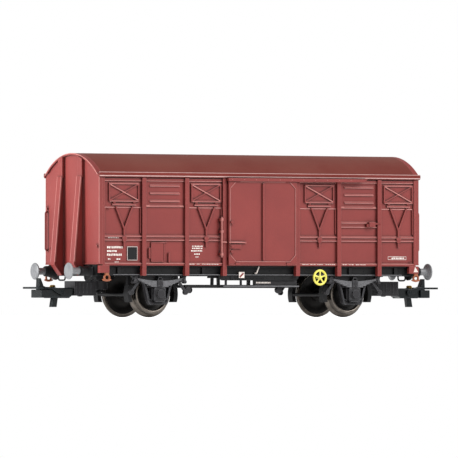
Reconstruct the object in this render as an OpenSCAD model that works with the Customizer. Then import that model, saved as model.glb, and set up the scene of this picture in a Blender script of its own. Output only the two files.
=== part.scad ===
// Model railway boxcar, scale 1:87: a two-axle covered goods wagon with
// sliding doors, sprung-looking running gear and loop couplers.
// Millimetres. X runs along the wagon with the front end at -X, the left
// side is at -Y, and Z is up from the floor that the wheel flanges stand on.
// The wagon is the same when it is turned half a turn about Z.

/* [Body] */
// Length of the body over its end sheets
body_l = 107.2; // [100:0.2:115]
// Width of the body over its corner posts
body_w = 31.2; // [30:0.1:33]
// Height of the underside of the side sheets
sill_z = 14.8; // [14.4:0.1:15.2]
// Height of the side sheets' top edge
eave_z = 40; // [39:0.1:41]
// Height of the roof's crown
crown_z = 47; // [46:0.1:48]
// Thickness of the side and end sheets
sheet_t = 1; // [0.8:0.05:1.2]
// Thickness of the roof
roof_t = 0.9; // [0.7:0.05:1.2]

/* [Side] */
// Recess of the side sheets behind the corner posts
panel_recess = 0.5; // [0.3:0.05:0.8]
// How far the side posts stand out from the sheets
post_depth = 0.8; // [0.6:0.05:1]
// Width of a side post
post_w = 1.3; // [1:0.1:1.6]
// Distance between the posts beside the doorway
doorway_pitch = 24.6; // [22:0.2:26]
// Depth of the solebar's face that the posts' feet cover
foot_drop = 2.9; // [2.4:0.1:3.2]

/* [Doors] */
// Width of a sliding door
door_w = 22.9; // [22:0.1:23.2]
// Thickness of a door without its rib
door_t = 0.7; // [0.6:0.05:1]
// Gap between a door and the posts that it slides past
door_gap = 0.1; // [0.08:0.01:0.2]
// Travel of a door to its open stop
door_travel = 22.4; // [18:0.1:22.6]

/* [Running gear] */
// Distance between the axles
wheelbase = 65.5; // [60:0.5:70]
// Radius of a wheel's tread
tread_r = 5.75; // [5.25:0.05:6]
// Height of a wheel's flange
flange_h = 1; // [0.7:0.05:1.2]
// Distance between the inner faces of the wheels
back_to_back = 14.4; // [14.2:0.1:14.6]
// Width of a wheel
wheel_w = 2.8; // [2.6:0.1:2.9]
// Length of an axle over its points
axle_l = 24.5; // [24:0.1:25]
// Radius of an axle
axle_r = 1; // [0.75:0.05:1.2]

/* [Buffers and couplers] */
// Length over the buffers
over_buffers = 121.6; // [118:0.2:126]
// Distance between two buffers
buffer_pitch = 20.1; // [19:0.1:21]
// Height of the buffers
buffer_z = 13.2; // [12.9:0.1:13.5]
// Radius of a buffer's head
buffer_r = 2.4; // [2.1:0.1:2.6]
// Reach of the coupler loop from the wagon's middle
coupler_reach = 67.4; // [66:0.1:69]

/* [Hidden] */
$fn = 64;
few = 32;
eps = 0.01;

half_l = body_l / 2;
half_w = body_w / 2;
panel_y = half_w - panel_recess;
inner_y = panel_y - sheet_t;
inner_x = half_l - sheet_t;
post_y = panel_y + post_depth;
foot_z = sill_z - foot_drop;
gusset_z = foot_z + 0.8;
// The two bays left of the doorway and the two right of it are not quite alike.
post_xs = [-39.05, -24.85, -doorway_pitch / 2, doorway_pitch / 2, 26.3, 40.05];

// The roof is one arc that meets the walls just above the eaves.
roof_r = 21.8;
roof_c = crown_z - roof_r;

// The floor is two sheets with the weight between them.
pan_t = 0.6;
ballast_t = 1.3;
deck_t = 0.6;
deck_z = sill_z + pan_t + ballast_t + deck_t;

doorway_w = 21.2;
doorway_top = 38.2;
door_y = post_y + door_gap;
door_z0 = sill_z + 0.1;
door_z1 = 39.7;
door_rib = 0.4;
track_z = 39.1;
track_lip = 0.3;
track_gap = 0.15;
track_x0 = -door_w / 2 - 0.3;
track_x1 = door_w / 2 + door_travel + 1.2;
track_y1 = door_y + door_t + track_gap + track_lip;

flange_r = tread_r + flange_h;
axle_z = flange_r;
axle_x = wheelbase / 2;
wheel_y0 = back_to_back / 2;
wheel_y1 = wheel_y0 + wheel_w;
point_l = 1.7;
point_r = 0.12;
shank_l = axle_l / 2 - point_l;
bearing_gap = 0.08;
point_slope = (axle_r - point_r) / point_l;
guard_y0 = 11.3;
guard_y1 = 12.7;

sole_y = 14.5;
sole_t = 0.6;
skirt_drop = 1.3;
head_x0 = 51.4;
head_x1 = 53.4;
head_y = 13.4;

coupler_z = 7.1;
swing_x = 44.5;
pivot_r = 0.95;
housing_x = 54.6;
loop_x = 58.6;
loop_z = 7.2;
loop_pin_r = 0.4;

// Turns its children half a turn about Z: the other side, and the other end.
module half_turn() {
    rotate([0, 0, 180]) children();
}

// A box between two corners.
module block(low, high) {
    translate(low) cube(high - low);
}

// A straight bar of square section between two points of the XZ plane.
module brace(a, b, w, y0, y1) {
    run = b - a;
    translate([a[0], y1, a[1]])
        rotate([0, -atan2(run[1], run[0]), 0])
            translate([0, y0 - y1, -w / 2])
                cube([norm(run), y1 - y0, w]);
}

// A round bar along X, Y or Z.
module bar_x(x0, x1, y, z, r) {
    translate([x0, y, z]) rotate([0, 90, 0]) cylinder(h = x1 - x0, r = r);
}

module bar_y(x, y0, y1, z, r) {
    translate([x, y0, z]) rotate([-90, 0, 0]) cylinder(h = y1 - y0, r = r);
}

module bar_z(x, y, z0, z1, r) {
    translate([x, y, z0]) cylinder(h = z1 - z0, r = r);
}

// An outline in Y and Z, carried along X.
module along_x(x0, x1) {
    translate([x0, 0, 0])
        rotate([90, 0, 90])
            linear_extrude(x1 - x0)
                children();
}

// An outline in X and Z, carried along Y.
module along_y(y0, y1) {
    translate([0, y1, 0])
        rotate([90, 0, 0])
            linear_extrude(y1 - y0)
                children();
}

// The area under the roof's arc and between the walls, above height base.
module arch_area(shrink, base) {
    intersection() {
        translate([0, roof_c]) circle(roof_r - shrink, $fn = 180);
        translate([-half_w, base]) square([body_w, crown_z]);
    }
}

// ---- sides ----

// Frame, cross and sill of a ventilator, centred at x.
vent_w = 10;
vent_z0 = 33;
vent_z1 = 38.3;
module ventilator(x) {
    frame = 0.4;
    bar = 0.32;
    proud = panel_y + 0.45;
    difference() {
        block([x - vent_w / 2, -proud, vent_z0], [x + vent_w / 2, -panel_y, vent_z1]);
        block([x - vent_w / 2 + frame, -proud - 1, vent_z0 + frame],
              [x + vent_w / 2 - frame, -panel_y - 0.1, vent_z1 - frame]);
    }
    reach = vent_w / 2 - frame;
    brace([x - reach, vent_z1 - frame], [x + reach, vent_z0 + frame], bar,
          -proud, -panel_y - 0.1);
    brace([x - reach, vent_z0 + frame], [x + reach, vent_z1 - frame], bar,
          -proud, -panel_y - 0.1);
    block([x - 3.95, -proud, 31.95], [x + 3.95, -panel_y, 32.4]);
}

// The forked rod that works a ventilator from the ground.
module vent_rod(x) {
    proud = panel_y + 0.55;
    fork_z = 25.2;
    arm = 0.42;
    for (side = [-1, 1])
        brace([x + side * 2.75, 31.6], [x, fork_z], arm, -proud, -panel_y);
    block([x - 0.25, -proud, 20.2], [x + 0.25, -panel_y, fork_z]);
    block([x - 0.55, -proud - 0.15, 21.6], [x + 0.55, -panel_y, 23.2]);
}

// Four louvre ridges of a bay with no ventilator.
module louvres(x) {
    for (z = [31.75, 33.2, 35.4, 37.6])
        block([x - 4.9, -panel_y - 0.35, z - 0.2], [x + 4.9, -panel_y, z + 0.2]);
}

// A shallow channel section: a web between two ridges.
module waist_rail(x0, x1) {
    block([x0, -panel_y - 0.2, 21.9], [x1, -panel_y, 23.4]);
    for (z = [21.9, 22.95])
        block([x0, -panel_y - 0.42, z], [x1, -panel_y, z + 0.45]);
}

module side_wall() {
    color("indianred") {
        difference() {
            block([-inner_x, -panel_y, sill_z], [inner_x, -inner_y, eave_z]);
            block([-doorway_w / 2, -panel_y - 1, deck_z],
                  [doorway_w / 2, -inner_y + 1, doorway_top]);
        }
        // Posts, with feet that reach down over the solebar.
        for (x = post_xs) {
            block([x - post_w / 2, -post_y, foot_z], [x + post_w / 2, -panel_y, eave_z - 0.2]);
            block([x - post_w / 2, -panel_y, foot_z], [x + post_w / 2, -sole_y, sill_z]);
        }
        // Jambs that the closed door rests in front of.
        for (side = [-1, 1])
            block([side * 11.4 - 0.8, -post_y, deck_z], [side * 11.4 + 0.8, -panel_y, doorway_top]);
        // Corner strips, each with a gusset at its foot.
        for (side = [-1, 1]) {
            block([min(side * inner_x, side * (inner_x - 0.7)), -half_w, sill_z],
                  [max(side * inner_x, side * (inner_x - 0.7)), -panel_y, eave_z - 0.2]);
            block([min(side * half_l, side * (half_l - 3.2)), -half_w, gusset_z],
                  [max(side * half_l, side * (half_l - 3.2)), -sole_y, sill_z]);
        }
        // Sill and top rails.
        for (side = [-1, 1]) {
            x0 = min(side * (doorway_pitch + post_w) / 2, side * (inner_x - 0.7));
            x1 = max(side * (doorway_pitch + post_w) / 2, side * (inner_x - 0.7));
            block([x0, -panel_y - 0.45, sill_z], [x1, -panel_y, sill_z + 0.75]);
            block([x0, -panel_y - 0.3, eave_z - 0.9], [x1, -panel_y, eave_z - 0.4]);
            waist_rail(x0, x1);
        }
        for (x = [-32, 33.3])
            louvres(x);
        for (x = [-45.5, -18.3, 19.75, 46.7]) {
            ventilator(x);
            vent_rod(x);
        }
        // Extra rail of the bay that the open door covers, and its catch.
        for (z = [26, 27.2])
            block([26.9, -panel_y - 0.35, z], [39.4, -panel_y, z + 0.35]);
        block([26.9, -panel_y - 0.15, 26], [39.4, -panel_y, 27.5]);
        block([36.2, -door_y - 0.5, 26.2], [38.2, -panel_y, 27.6]);
        // Board for chalked notes.
        block([-36.5, -panel_y - 0.3, 15.9], [-32.3, -panel_y, 21.4]);
        block([-37.3, -panel_y - 0.3, 16.8], [-36.5, -panel_y, 19.9]);
        block([-30.9, -panel_y - 0.5, 15.7], [-30.4, -panel_y, 18.4]);
        // Black panel on the first bay.
        block([-44.5, -panel_y - 0.15, 16.2], [-41.1, -panel_y, 20.1]);
    }
}

module side_wall_left() { side_wall(); }

module side_wall_right() { half_turn() side_wall(); }

// ---- ends ----

end_z0 = 15.1;
stanchion_y = 5.6;
rim_w = 0.55;
rim_d = 0.55;

// A tapered I-beam stanchion on the front end, at y, with its cap rib above.
module stanchion(y) {
    flange_w = 2.4;
    web_w = 1.7;
    flange_t = 0.4;
    top_d = 1.2;
    foot_d = 3.4;
    top_z = 40.3;
    outer = [[-half_l, top_z], [-half_l - top_d, top_z], [-half_l - foot_d, 15.9],
             [-half_l - foot_d, 15.1], [-half_l - 1, foot_z + 0.1], [-half_l, foot_z + 0.1]];
    along_y(y - web_w / 2, y + web_w / 2) polygon(outer);
    along_y(y - flange_w / 2, y + flange_w / 2)
        polygon([[-half_l - top_d, top_z], [-half_l - foot_d, 15.9], [-half_l - foot_d, 15.1],
                 [-half_l - 1, foot_z + 0.1], [-half_l - 0.6, foot_z + 0.1],
                 [-half_l - foot_d + flange_t, 15.5],
                 [-half_l - top_d + flange_t, top_z]]);
    along_y(y - flange_w / 2, y + flange_w / 2)
        polygon([[-half_l, top_z], [-half_l - 0.3, top_z], [-half_l - 0.3, end_z0],
                 [-half_l, end_z0]]);
}

module cap_rib(y) {
    intersection() {
        block([-half_l - 0.9, y - 1.2, 40.3], [-half_l, y + 1.2, crown_z]);
        along_x(-half_l - 2, -half_l + 1) arch_area(rim_w, 40);
    }
}

module end_wall() {
    color("rosybrown") {
        along_x(-half_l, -inner_x) arch_area(0, end_z0);
        // Raised rim round the arch.
        along_x(-half_l - rim_d, -half_l)
            difference() {
                arch_area(0, eave_z + 1.3);
                arch_area(rim_w, eave_z);
            }
        for (side = [-1, 1]) {
            stanchion(side * stanchion_y);
            cap_rib(side * stanchion_y);
        }
    }
}

module end_wall_front() { end_wall(); }

module end_wall_rear() { half_turn() end_wall(); }

// Upright grab rail beside the right-hand corner of the front end.
module grab_rail() {
    rail_y = 14.2;
    rail_x = -half_l - 0.8;
    color("brown") {
        bar_z(rail_x, rail_y, 18.7, 30.9, 0.28);
        for (z = [19.2, 30.4])
            bar_x(rail_x - 0.1, -half_l, rail_y, z, 0.25);
    }
}

module grab_rail_front() { grab_rail(); }

module grab_rail_rear() { half_turn() grab_rail(); }

// ---- roof and floor ----

// Section of the rain gutter on the left eave.
gutter = [[-half_w, eave_z], [-half_w - 0.3, eave_z], [-half_w - 0.6, eave_z + 0.5],
          [-half_w - 0.6, eave_z + 1.3], [-half_w - 0.35, eave_z + 1.3],
          [-half_w - 0.35, eave_z + 0.85], [-half_w, eave_z + 0.85]];

module roof() {
    color("firebrick") {
        along_x(-inner_x, inner_x)
            difference() {
                arch_area(0, eave_z);
                arch_area(roof_t, eave_z - 1);
            }
        for (side = [0, 1])
            mirror([0, side, 0]) {
                along_x(-half_l - 0.3, half_l + 0.3) polygon(gutter);
                along_x(-inner_x, inner_x)
                    polygon([[-half_w, eave_z], [1.4 - half_w, eave_z],
                             [1.1 - half_w, eave_z + 0.85], [-half_w, eave_z + 0.85]]);
            }
    }
}

module floor_pan() {
    color("dimgray")
        block([-inner_x, -inner_y, sill_z], [inner_x, inner_y, sill_z + pan_t]);
}

module ballast_weight() {
    color("silver")
        block([-46, -12.4, sill_z + pan_t], [46, 12.4, sill_z + pan_t + ballast_t]);
}

// The planked deck rests on the weight and on a rim round it.
module load_floor() {
    color("tan") {
        difference() {
            block([-inner_x, -inner_y, sill_z + pan_t], [inner_x, inner_y, deck_z]);
            block([-46.05, -12.45, sill_z + pan_t - 1],
                  [46.05, 12.45, sill_z + pan_t + ballast_t]);
            for (i = [-12:12])
                block([i * 4 - 0.12, -inner_y - 1, deck_z - 0.15],
                      [i * 4 + 0.12, inner_y + 1, deck_z + 1]);
        }
    }
}

// ---- underframe ----

// A channel that opens outwards, deeper under the doorway.
// Channel section. The left one is deeper under the doorway.
module solebar(deep) {
    color("darkslategray") {
        block([-head_x0, 0.8 - sole_y, foot_z], [head_x0, 0.8 - sole_y + sole_t, sill_z]);
        block([-head_x0, -sole_y, foot_z], [head_x0, 0.8 - sole_y, foot_z + 0.4]);
        block([-head_x0, -sole_y, sill_z - 0.4], [head_x0, 0.8 - sole_y, sill_z]);
        if (deep)
            along_y(0.2 - sole_y, 0.8 - sole_y + sole_t)
                polygon([[-13.1, foot_z], [-12.6, foot_z - 0.9], [-11.8, foot_z - skirt_drop],
                         [12.3, foot_z - skirt_drop], [13.1, foot_z - 0.9], [13.6, foot_z]]);
    }
}

module solebar_left() { solebar(true); }

module solebar_right() { half_turn() solebar(false); }

module headstock() {
    color("slategray")
        difference() {
            union() {
                block([-head_x1, -head_y, foot_z], [-head_x0, head_y, sill_z]);
                block([-head_x1, -head_y, foot_z], [-inner_x, head_y, end_z0]);
            }
            // The coupler's head passes below a shallow notch.
            block([-head_x1 - 1, -4, foot_z - 1], [-head_x0 + 1, 4, foot_z + 0.5]);
        }
}

module headstock_front() { headstock(); }

module headstock_rear() { half_turn() headstock(); }

// Beams across the underside between the solebars.
module cross_bearers() {
    color("darkslategray")
        for (x = [-22.5, -10.5, 10.5, 22.5])
            block([x - 0.5, sole_t + 0.8 - sole_y, 13.5],
                  [x + 0.5, sole_y - sole_t - 0.8, sill_z]);
}

// A rope eye hangs from each corner gusset, at x along the body.
module rope_eye(x) {
    difference() {
        along_y(-half_w, -half_w + 0.8)
            polygon([[x - 0.6, gusset_z], [x - 0.9, gusset_z - 0.7],
                     [x - 1.6, gusset_z - 2.5], [x + 1.6, gusset_z - 2.5],
                     [x + 0.9, gusset_z - 0.7], [x + 0.6, gusset_z]]);
        bar_y(x, -half_w - 1, -half_w + 2, gusset_z - 1.4, 0.5);
    }
}

module rope_eyes() {
    color("sienna")
        for (turn = [0, 180])
            rotate([0, 0, turn]) {
                rope_eye(-51);
                rope_eye(52.9);
            }
}

// A bent rail under each buffer, for the shunter's hand.
module shunter_rail() {
    r = 0.25;
    x = -head_x1 + 0.6;
    y0 = 5.6;
    y1 = 9.6;
    bar_y(x, y0, y1, foot_z - 1, r);
    for (y = [y0, y1]) {
        bar_z(x, y, foot_z - 1, foot_z, r);
        translate([x, y, foot_z - 1]) sphere(r);
    }
}

module shunter_rails() {
    color("black")
        for (turn = [0, 180], flip = [0, 1])
            rotate([0, 0, turn]) mirror([0, flip, 0]) shunter_rail();
}

// ---- buffers ----

// A buffer on the front end, at y. Its head is flat or domed.
module buffer(y, domed) {
    reach = over_buffers / 2 - head_x1;
    face = domed ? reach - 0.35 : reach;
    color("silver")
        translate([-head_x1, y, buffer_z]) rotate([0, -90, 0]) {
            rotate_extrude()
                polygon([[0, 0], [1.55, 0], [1.55, 0.5], [1.3, 0.9], [1.3, 3.6],
                         [1, 3.6], [1, face - 0.9], [1.3, face - 0.7],
                         [buffer_r - 0.2, face - 0.5], [buffer_r, face - 0.35],
                         [buffer_r, face], [0, face]]);
            if (domed)
                intersection() {
                    dome_r = 8.4;
                    translate([0, 0, reach - dome_r]) sphere(dome_r, $fn = 96);
                    translate([0, 0, face - 0.01]) cylinder(h = 1, r = buffer_r);
                }
            block([-1.25, -1.9, 0], [1.25, 1.9, 0.4]);
        }
}

module buffer_front_left() { buffer(-buffer_pitch / 2, false); }

module buffer_front_right() { buffer(buffer_pitch / 2, true); }

module buffer_rear_left() { half_turn() buffer(buffer_pitch / 2, true); }

module buffer_rear_right() { half_turn() buffer(-buffer_pitch / 2, false); }

// ---- doors ----

door_panel = [[-10.9, 17.9], [-10.9, 37], [-9, 38.9], [9, 38.9], [10.9, 37],
              [10.9, 17.9], [9, 16], [-9, 16]];

module door() {
    color("brown") {
        face = -door_y - door_t;
        difference() {
            block([-door_w / 2, face, door_z0], [door_w / 2, -door_y, door_z1]);
            along_y(face - 1, face + 0.12) polygon(door_panel);
        }
        block([-0.3, face - door_rib, 16.4], [0.3, face + 0.25, 38.5]);
        // Handle bar and its plate, and two knobs.
        block([-11.6, face - 0.4, 21.3], [-5.8, face + 0.25, 21.75]);
        block([-11.2, face - 0.2, 19.7], [-7.4, face + 0.25, 21]);
        for (z = [18.9, 27.3])
            bar_y(-10.7, face - 0.6, face + 0.25, z, 0.4);
    }
}

module door_left() { door(); }

module door_right() { half_turn() door(); }

// The hood that the door's top edge runs in, with a stop at each end.
module door_track() {
    color("maroon")
        difference() {
            along_y(-track_y1, -panel_y)
                polygon([[track_x0, track_z], [track_x1 - 1.4, track_z], [track_x1, track_z + 0.7],
                         [track_x1, eave_z], [track_x0, eave_z]]);
            block([track_x0 + 0.2, -track_y1 + track_lip, track_z - 1],
                  [track_x1 - 0.9, -post_y - 0.02, door_z1 + 0.1]);
            block([-60, -post_y - 0.02, track_z - 1], [60, -panel_y + 1, eave_z - 0.2]);
        }
}

module door_track_left() { door_track(); }

module door_track_right() { half_turn() door_track(); }

// The locking bar on the post that the closed door meets.
module door_latch() {
    color("darkred") {
        x = -13.6;
        y = -panel_y - 0.95;
        bar_z(x, y, 17.7, 28.5, 0.3);
        for (z = [18.1, 24.6, 28])
            block([x - 0.45, y - 0.35, z - 0.4], [x + 0.45, -panel_y, z + 0.4]);
    }
}

module door_latch_left() { door_latch(); }

module door_latch_right() { half_turn() door_latch(); }

// The footboard under the doorway, on two brackets that reach up to the solebar at top.
// The left one also carries an apron plate.
module door_step(top, apron) {
    color("gray") {
        block([-12, -sole_y, 8.75], [13.4, -12.9, 9.15]);
        for (x = [-10.6, 11])
            block([x - 0.3, 0.8 - sole_y, 9.1], [x + 0.3, 1.2 - sole_y, top]);
        if (apron)
            block([-0.9, 0.8 - sole_y, 9.1], [13.1, 1.2 - sole_y, top]);
    }
}

module door_step_left() { door_step(foot_z - skirt_drop, true); }

module door_step_right() { half_turn() door_step(foot_z, false); }

// ---- running gear ----

// Wheel on the +Y side of an axle, about the axle's own centre.
wheel_face = [
    [0, wheel_y0 - 0.4], [1.9, wheel_y0 - 0.4], [1.9, wheel_y0], [flange_r - 0.25, wheel_y0],
    [flange_r, wheel_y0 + 0.3], [flange_r, wheel_y0 + 0.55], [tread_r + 0.15, wheel_y0 + 0.9],
    [tread_r, wheel_y0 + 1.15], [tread_r - 0.07, wheel_y1 - 0.15], [tread_r - 0.22, wheel_y1],
    [tread_r - 0.9, wheel_y1], [tread_r - 1.15, wheel_y1 - 0.8], [2.2, wheel_y1 - 0.65],
    [1.8, wheel_y1], [0, wheel_y1]
];

module wheel(side) {
    color("lightsteelblue")
        translate([0, 0, axle_z])
            rotate([side > 0 ? -90 : 90, 0, 0])
                difference() {
                    rotate_extrude($fn = 96) polygon(wheel_face);
                    translate([0, 0, wheel_y0 - 1]) cylinder(h = wheel_w + 2, r = axle_r);
                }
}

module axle() {
    color("lightgray") {
        bar_y(0, -shank_l, shank_l, axle_z, axle_r);
        for (side = [-1, 1])
            translate([0, side * shank_l, axle_z])
                rotate([side > 0 ? -90 : 90, 0, 0])
                    cylinder(h = point_l, r1 = axle_r, r2 = point_r);
    }
}

module axle_front() { translate([-axle_x, 0, 0]) axle(); }

module axle_rear() { translate([axle_x, 0, 0]) axle(); }

module wheel_front_left() { translate([-axle_x, 0, 0]) wheel(-1); }

module wheel_front_right() { translate([-axle_x, 0, 0]) wheel(1); }

module wheel_rear_left() { translate([axle_x, 0, 0]) wheel(-1); }

module wheel_rear_right() { translate([axle_x, 0, 0]) wheel(1); }

// A leaf spring between its hangers: a thick middle and thin ends.
spring_half = 7.9;
module arc_above(low, sag) {
    arc_r = (spring_half * spring_half + sag * sag) / (2 * sag);
    translate([0, low + arc_r]) circle(arc_r, $fn = 180);
}

module spring_area() {
    intersection() {
        difference() {
            arc_above(8.9, 2.1);
            arc_above(10.4, 0.95);
        }
        translate([-spring_half, 8]) square([2 * spring_half, 4]);
    }
}

// Axle guard, leaf spring and axle box on the left of the front axle.
module axle_guard() {
    color("darkslategray")
        translate([-axle_x, 0, 0]) {
            difference() {
                union() {
                    // The guard plate, from the floor to below the axle.
                    along_y(-guard_y1, -guard_y0)
                        polygon([[-5.4, sill_z], [5.4, sill_z], [5.4, foot_z], [4.4, 9.2],
                                 [3.1, 4.1], [2.5, 3.6], [-2.5, 3.6], [-3.1, 4.1],
                                 [-4.4, 9.2], [-5.4, foot_z]]);
                    block([-1.75, -14, 4.9], [1.75, -guard_y1, 8.5]);
                    bar_y(0, -14.7, -guard_y1, axle_z, 1.15);
                    // Spring buckle on the box.
                    block([-0.75, -14.1, 8.4], [0.75, -guard_y1, 11.2]);
                }
                // Windows beside the axle box.
                for (side = [-1, 1])
                    along_y(-guard_y1 - 0.1, -guard_y0 + 1)
                        polygon([[side * 2.1, 5], [side * 2.9, 5.4], [side * 3.7, 8.6],
                                 [side * 2.1, 8.6]]);
                // The cup that the axle's point turns in.
                cup_l = axle_l / 2 + bearing_gap - guard_y0;
                mouth_r = point_r + point_slope * (axle_l / 2 - guard_y0) + bearing_gap;
                translate([0, -guard_y0, axle_z])
                    rotate([90, 0, 0])
                        cylinder(h = cup_l, r1 = mouth_r, r2 = mouth_r - point_slope * cup_l);
            }
            along_y(-13.9, -guard_y1) spring_area();
            // Hangers at the spring's ends.
            for (side = [-1, 1])
                block([side * 7.8 - 0.6, -13.9, 10.1], [side * 7.8 + 0.6, -guard_y1, foot_z]);
        }
}

module axle_guard_front_left() { axle_guard(); }

module axle_guard_front_right() { mirror([0, 1, 0]) axle_guard(); }

module axle_guard_rear_left() { mirror([1, 0, 0]) axle_guard(); }

module axle_guard_rear_right() { half_turn() axle_guard(); }

// ---- brakes ----

// Shoe and hanger outside one wheel, on the +X and +Y side of its axle.
shoe_r = flange_r + 0.35;
shoe_t = 1.2;
module brake_shoe() {
    intersection() {
        difference() {
            bar_y(0, wheel_y0 + 0.3, wheel_y1 - 0.1, axle_z, shoe_r + shoe_t);
            bar_y(0, 0, wheel_y1 + 1, axle_z, shoe_r);
        }
        block([4, 0, axle_z - 2.4], [12, 20, axle_z + 2.6]);
    }
    hanger_x = shoe_r + shoe_t / 2;
    block([hanger_x - 0.4, 8.4, axle_z + 1.5], [hanger_x + 0.4, 9.4, sill_z]);
    // Half of the beam that joins the two shoes.
    bar_y(hanger_x, 0, 8.9, axle_z - 0.2, 0.5);
}

module brake_shoes() {
    color("dimgray")
        translate([-axle_x, 0, 0])
            for (across = [0, 1], along = [0, 1])
                mirror([0, across, 0]) mirror([along, 0, 0]) brake_shoe();
}

module brake_shoes_front() { brake_shoes(); }

module brake_shoes_rear() { half_turn() brake_shoes(); }

// Pull rod at the left side, on two A-shaped hangers.
module pull_rod() {
    y = 12;
    block([-23.5, -y - 0.4, 8.5], [13.6, -y + 0.4, 9.35]);
    for (x = [-13.15, -0.85]) {
        for (lean = [-1, 1])
            brace([x + lean * 1.1, 8.9], [x + lean * 0.9, sill_z - 0.3], 0.5,
                  -y - 0.35, 0.35 - y);
        block([x - 1.9, -y - 0.5, sill_z - 0.5], [x + 1.9, 0.5 - y, sill_z]);
    }
    // Bracket at the top of the outer hanger.
    block([-15.65, -y - 0.5, 11.25], [-12.3, 0.5 - y, 12.4]);
}

module brake_rigging() {
    color("black") {
        pull_rod();
        half_turn() pull_rod();
        // Cross shaft high between the frames, with an arm down to the left pull rod.
        bar_y(7, -12, 2, 13.2, 0.45);
        block([6.6, -12.35, 9.2], [7.4, -11.65, 13.3]);
        block([6.6, 1.2, 11.4], [7.4, 2, 13.3]);
    }
}

module brake_cylinder() {
    color("black") {
        bar_x(-9, -1, -4.5, 12.9, 1.3);
        bar_x(-1, 2.2, -4.5, 12.9, 0.5);
        block([-6.5, -5.3, 13], [-3.5, -3.7, sill_z]);
    }
}

module air_tank() {
    color("black") {
        bar_x(11.5, 21.5, 4.5, 12.9, 1.3);
        for (x = [13.5, 20])
            block([x - 0.5, 3.7, 13], [x + 0.5, 5.3, sill_z]);
    }
}

// Handwheel of the parking brake, on a stub shaft from the solebar.
module brake_wheel() {
    x = 19.2;
    z = 11.5;
    wheel_y = -16.7;
    color("khaki") {
        translate([x, wheel_y, z]) rotate([90, 0, 0]) {
            rotate_extrude() translate([2, 0]) circle(0.34, $fn = few);
            cylinder(h = 0.7, r = 0.65, center = true);
            for (i = [0:4])
                rotate([0, 0, 90 + i * 72])
                    translate([0.3, -0.35, -0.22]) cube([1.6, 0.7, 0.44]);
        }
        bar_y(x, wheel_y, 0.8 - sole_y, z, 0.38);
        block([x - 0.6, -sole_y, z - 0.7], [x + 0.6, 0.8 - sole_y, foot_z]);
    }
}

module brake_wheel_left() { brake_wheel(); }

module brake_wheel_right() { half_turn() brake_wheel(); }

// Changeover plate and lever of the brake, on the solebar under the door.
module brake_plate() {
    color("white") {
        block([-6.9, -sole_y - 0.25, 11.3], [-5.1, -sole_y, 13.05]);
        block([-6.3, -sole_y, foot_z + 0.4], [-5.5, 0.8 - sole_y, 13]);
        brace([-1, foot_z + 0.75], [-0.15, sill_z - 0.2], 0.28, -sole_y - 0.3, -sole_y);
        block([-1.3, -sole_y, foot_z + 0.55], [-0.8, 0.8 - sole_y, foot_z + 1]);
    }
}

module brake_plate_left() { brake_plate(); }

module brake_plate_right() { half_turn() brake_plate(); }

// ---- couplers ----

// The fixed pivot block under the floor, with a pin that the arm turns on.
module coupler_mount() {
    color("gray") {
        block([-47.5, -3, 10.8], [-41.5, 3, sill_z]);
        bar_z(-swing_x, 0, 7.1, 10.9, pivot_r);
        bar_z(-swing_x, 0, 7.1, 7.7, 1.5);
    }
}

module coupler_mount_front() { coupler_mount(); }

module coupler_mount_rear() { half_turn() coupler_mount(); }

// The arm swings on the pin, and its housing holds the coupler's shank.
module coupler_arm() {
    color("slategray")
        difference() {
            union() {
                bar_z(-swing_x, 0, 8, 10.4, 2.2);
                block([-48, -1.7, 8], [-swing_x, 1.7, 10.4]);
                block([-housing_x, -2.9, 6.2], [-47.5, 2.9, 10.4]);
            }
            bar_z(-swing_x, 0, 7, 11.5, pivot_r + 0.05);
            block([-housing_x - 1, -1.65, 6.6], [-50, 1.65, 8.4]);
        }
}

module coupler_arm_front() { coupler_arm(); }

module coupler_arm_rear() { half_turn() coupler_arm(); }

// Head with its shank, side cheeks, buffing plate and upturned hook.
module coupler_head() {
    color("darkslategray") {
        block([-housing_x - 1, -1.65, 6.6], [-50.4, 1.65, 8.4]);
        block([-62.2, -2.4, 5.7], [-housing_x, 2.4, 8.4]);
        along_y(-1, 1)
            polygon([[-62.1, 5.7], [-65, 5.7], [-65.1, 8.4], [-65, 11.2], [-64.5, 11.2],
                     [-63.6, 9], [-62.1, 8.4]]);
        block([-65.5, -3.1, 5.6], [-64.7, 3.1, 7.9]);
        for (side = [-1, 1])
            block([-64.8, side * 2.75 - 0.35, 5.6], [-62.1, side * 2.75 + 0.35, 7.9]);
        bar_y(-loop_x, -3.1, 3.1, loop_z, loop_pin_r);
        // Stem of the uncoupling pin.
        brace([-59.6, 6], [-60, 2.9], 1.7, -0.9, 0.9);
    }
}

module coupler_head_front() { coupler_head(); }

module coupler_head_rear() { half_turn() coupler_head(); }

// Half of the loop: a side arm on the pin, and half of the flat bow.
module loop_half() {
    loop_t = 0.55;
    rise_z = 8.15;
    difference() {
        union() {
            bar_y(-loop_x, 2.5, 3.05, loop_z, 0.95);
            along_y(2.5, 3.05)
                polygon([[-loop_x, loop_z - 0.5], [-loop_x - 0.3, loop_z + 0.8],
                         [-61.4, rise_z + loop_t], [-62, rise_z + loop_t], [-62, rise_z],
                         [-60.8, loop_z + 0.1], [-59.8, loop_z - 0.5]]);
        }
        bar_y(-loop_x, 0, 6, loop_z, loop_pin_r + 0.05);
    }
    translate([0, 0, rise_z])
        linear_extrude(loop_t)
            polygon([[-61.2, 2.5], [-61.2, 3.05], [-63.4, 3.3], [-65.8, 4.4],
                     [-coupler_reach, 4.4], [-coupler_reach, 0], [0.9 - coupler_reach, 0],
                     [0.9 - coupler_reach, 3.5], [-65.4, 3.5], [-63.4, 2.6]]);
}

module coupler_loop() {
    color("silver") {
        loop_half();
        mirror([0, 1, 0]) loop_half();
    }
}

module coupler_loop_front() { coupler_loop(); }

module coupler_loop_rear() { half_turn() coupler_loop(); }

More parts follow.
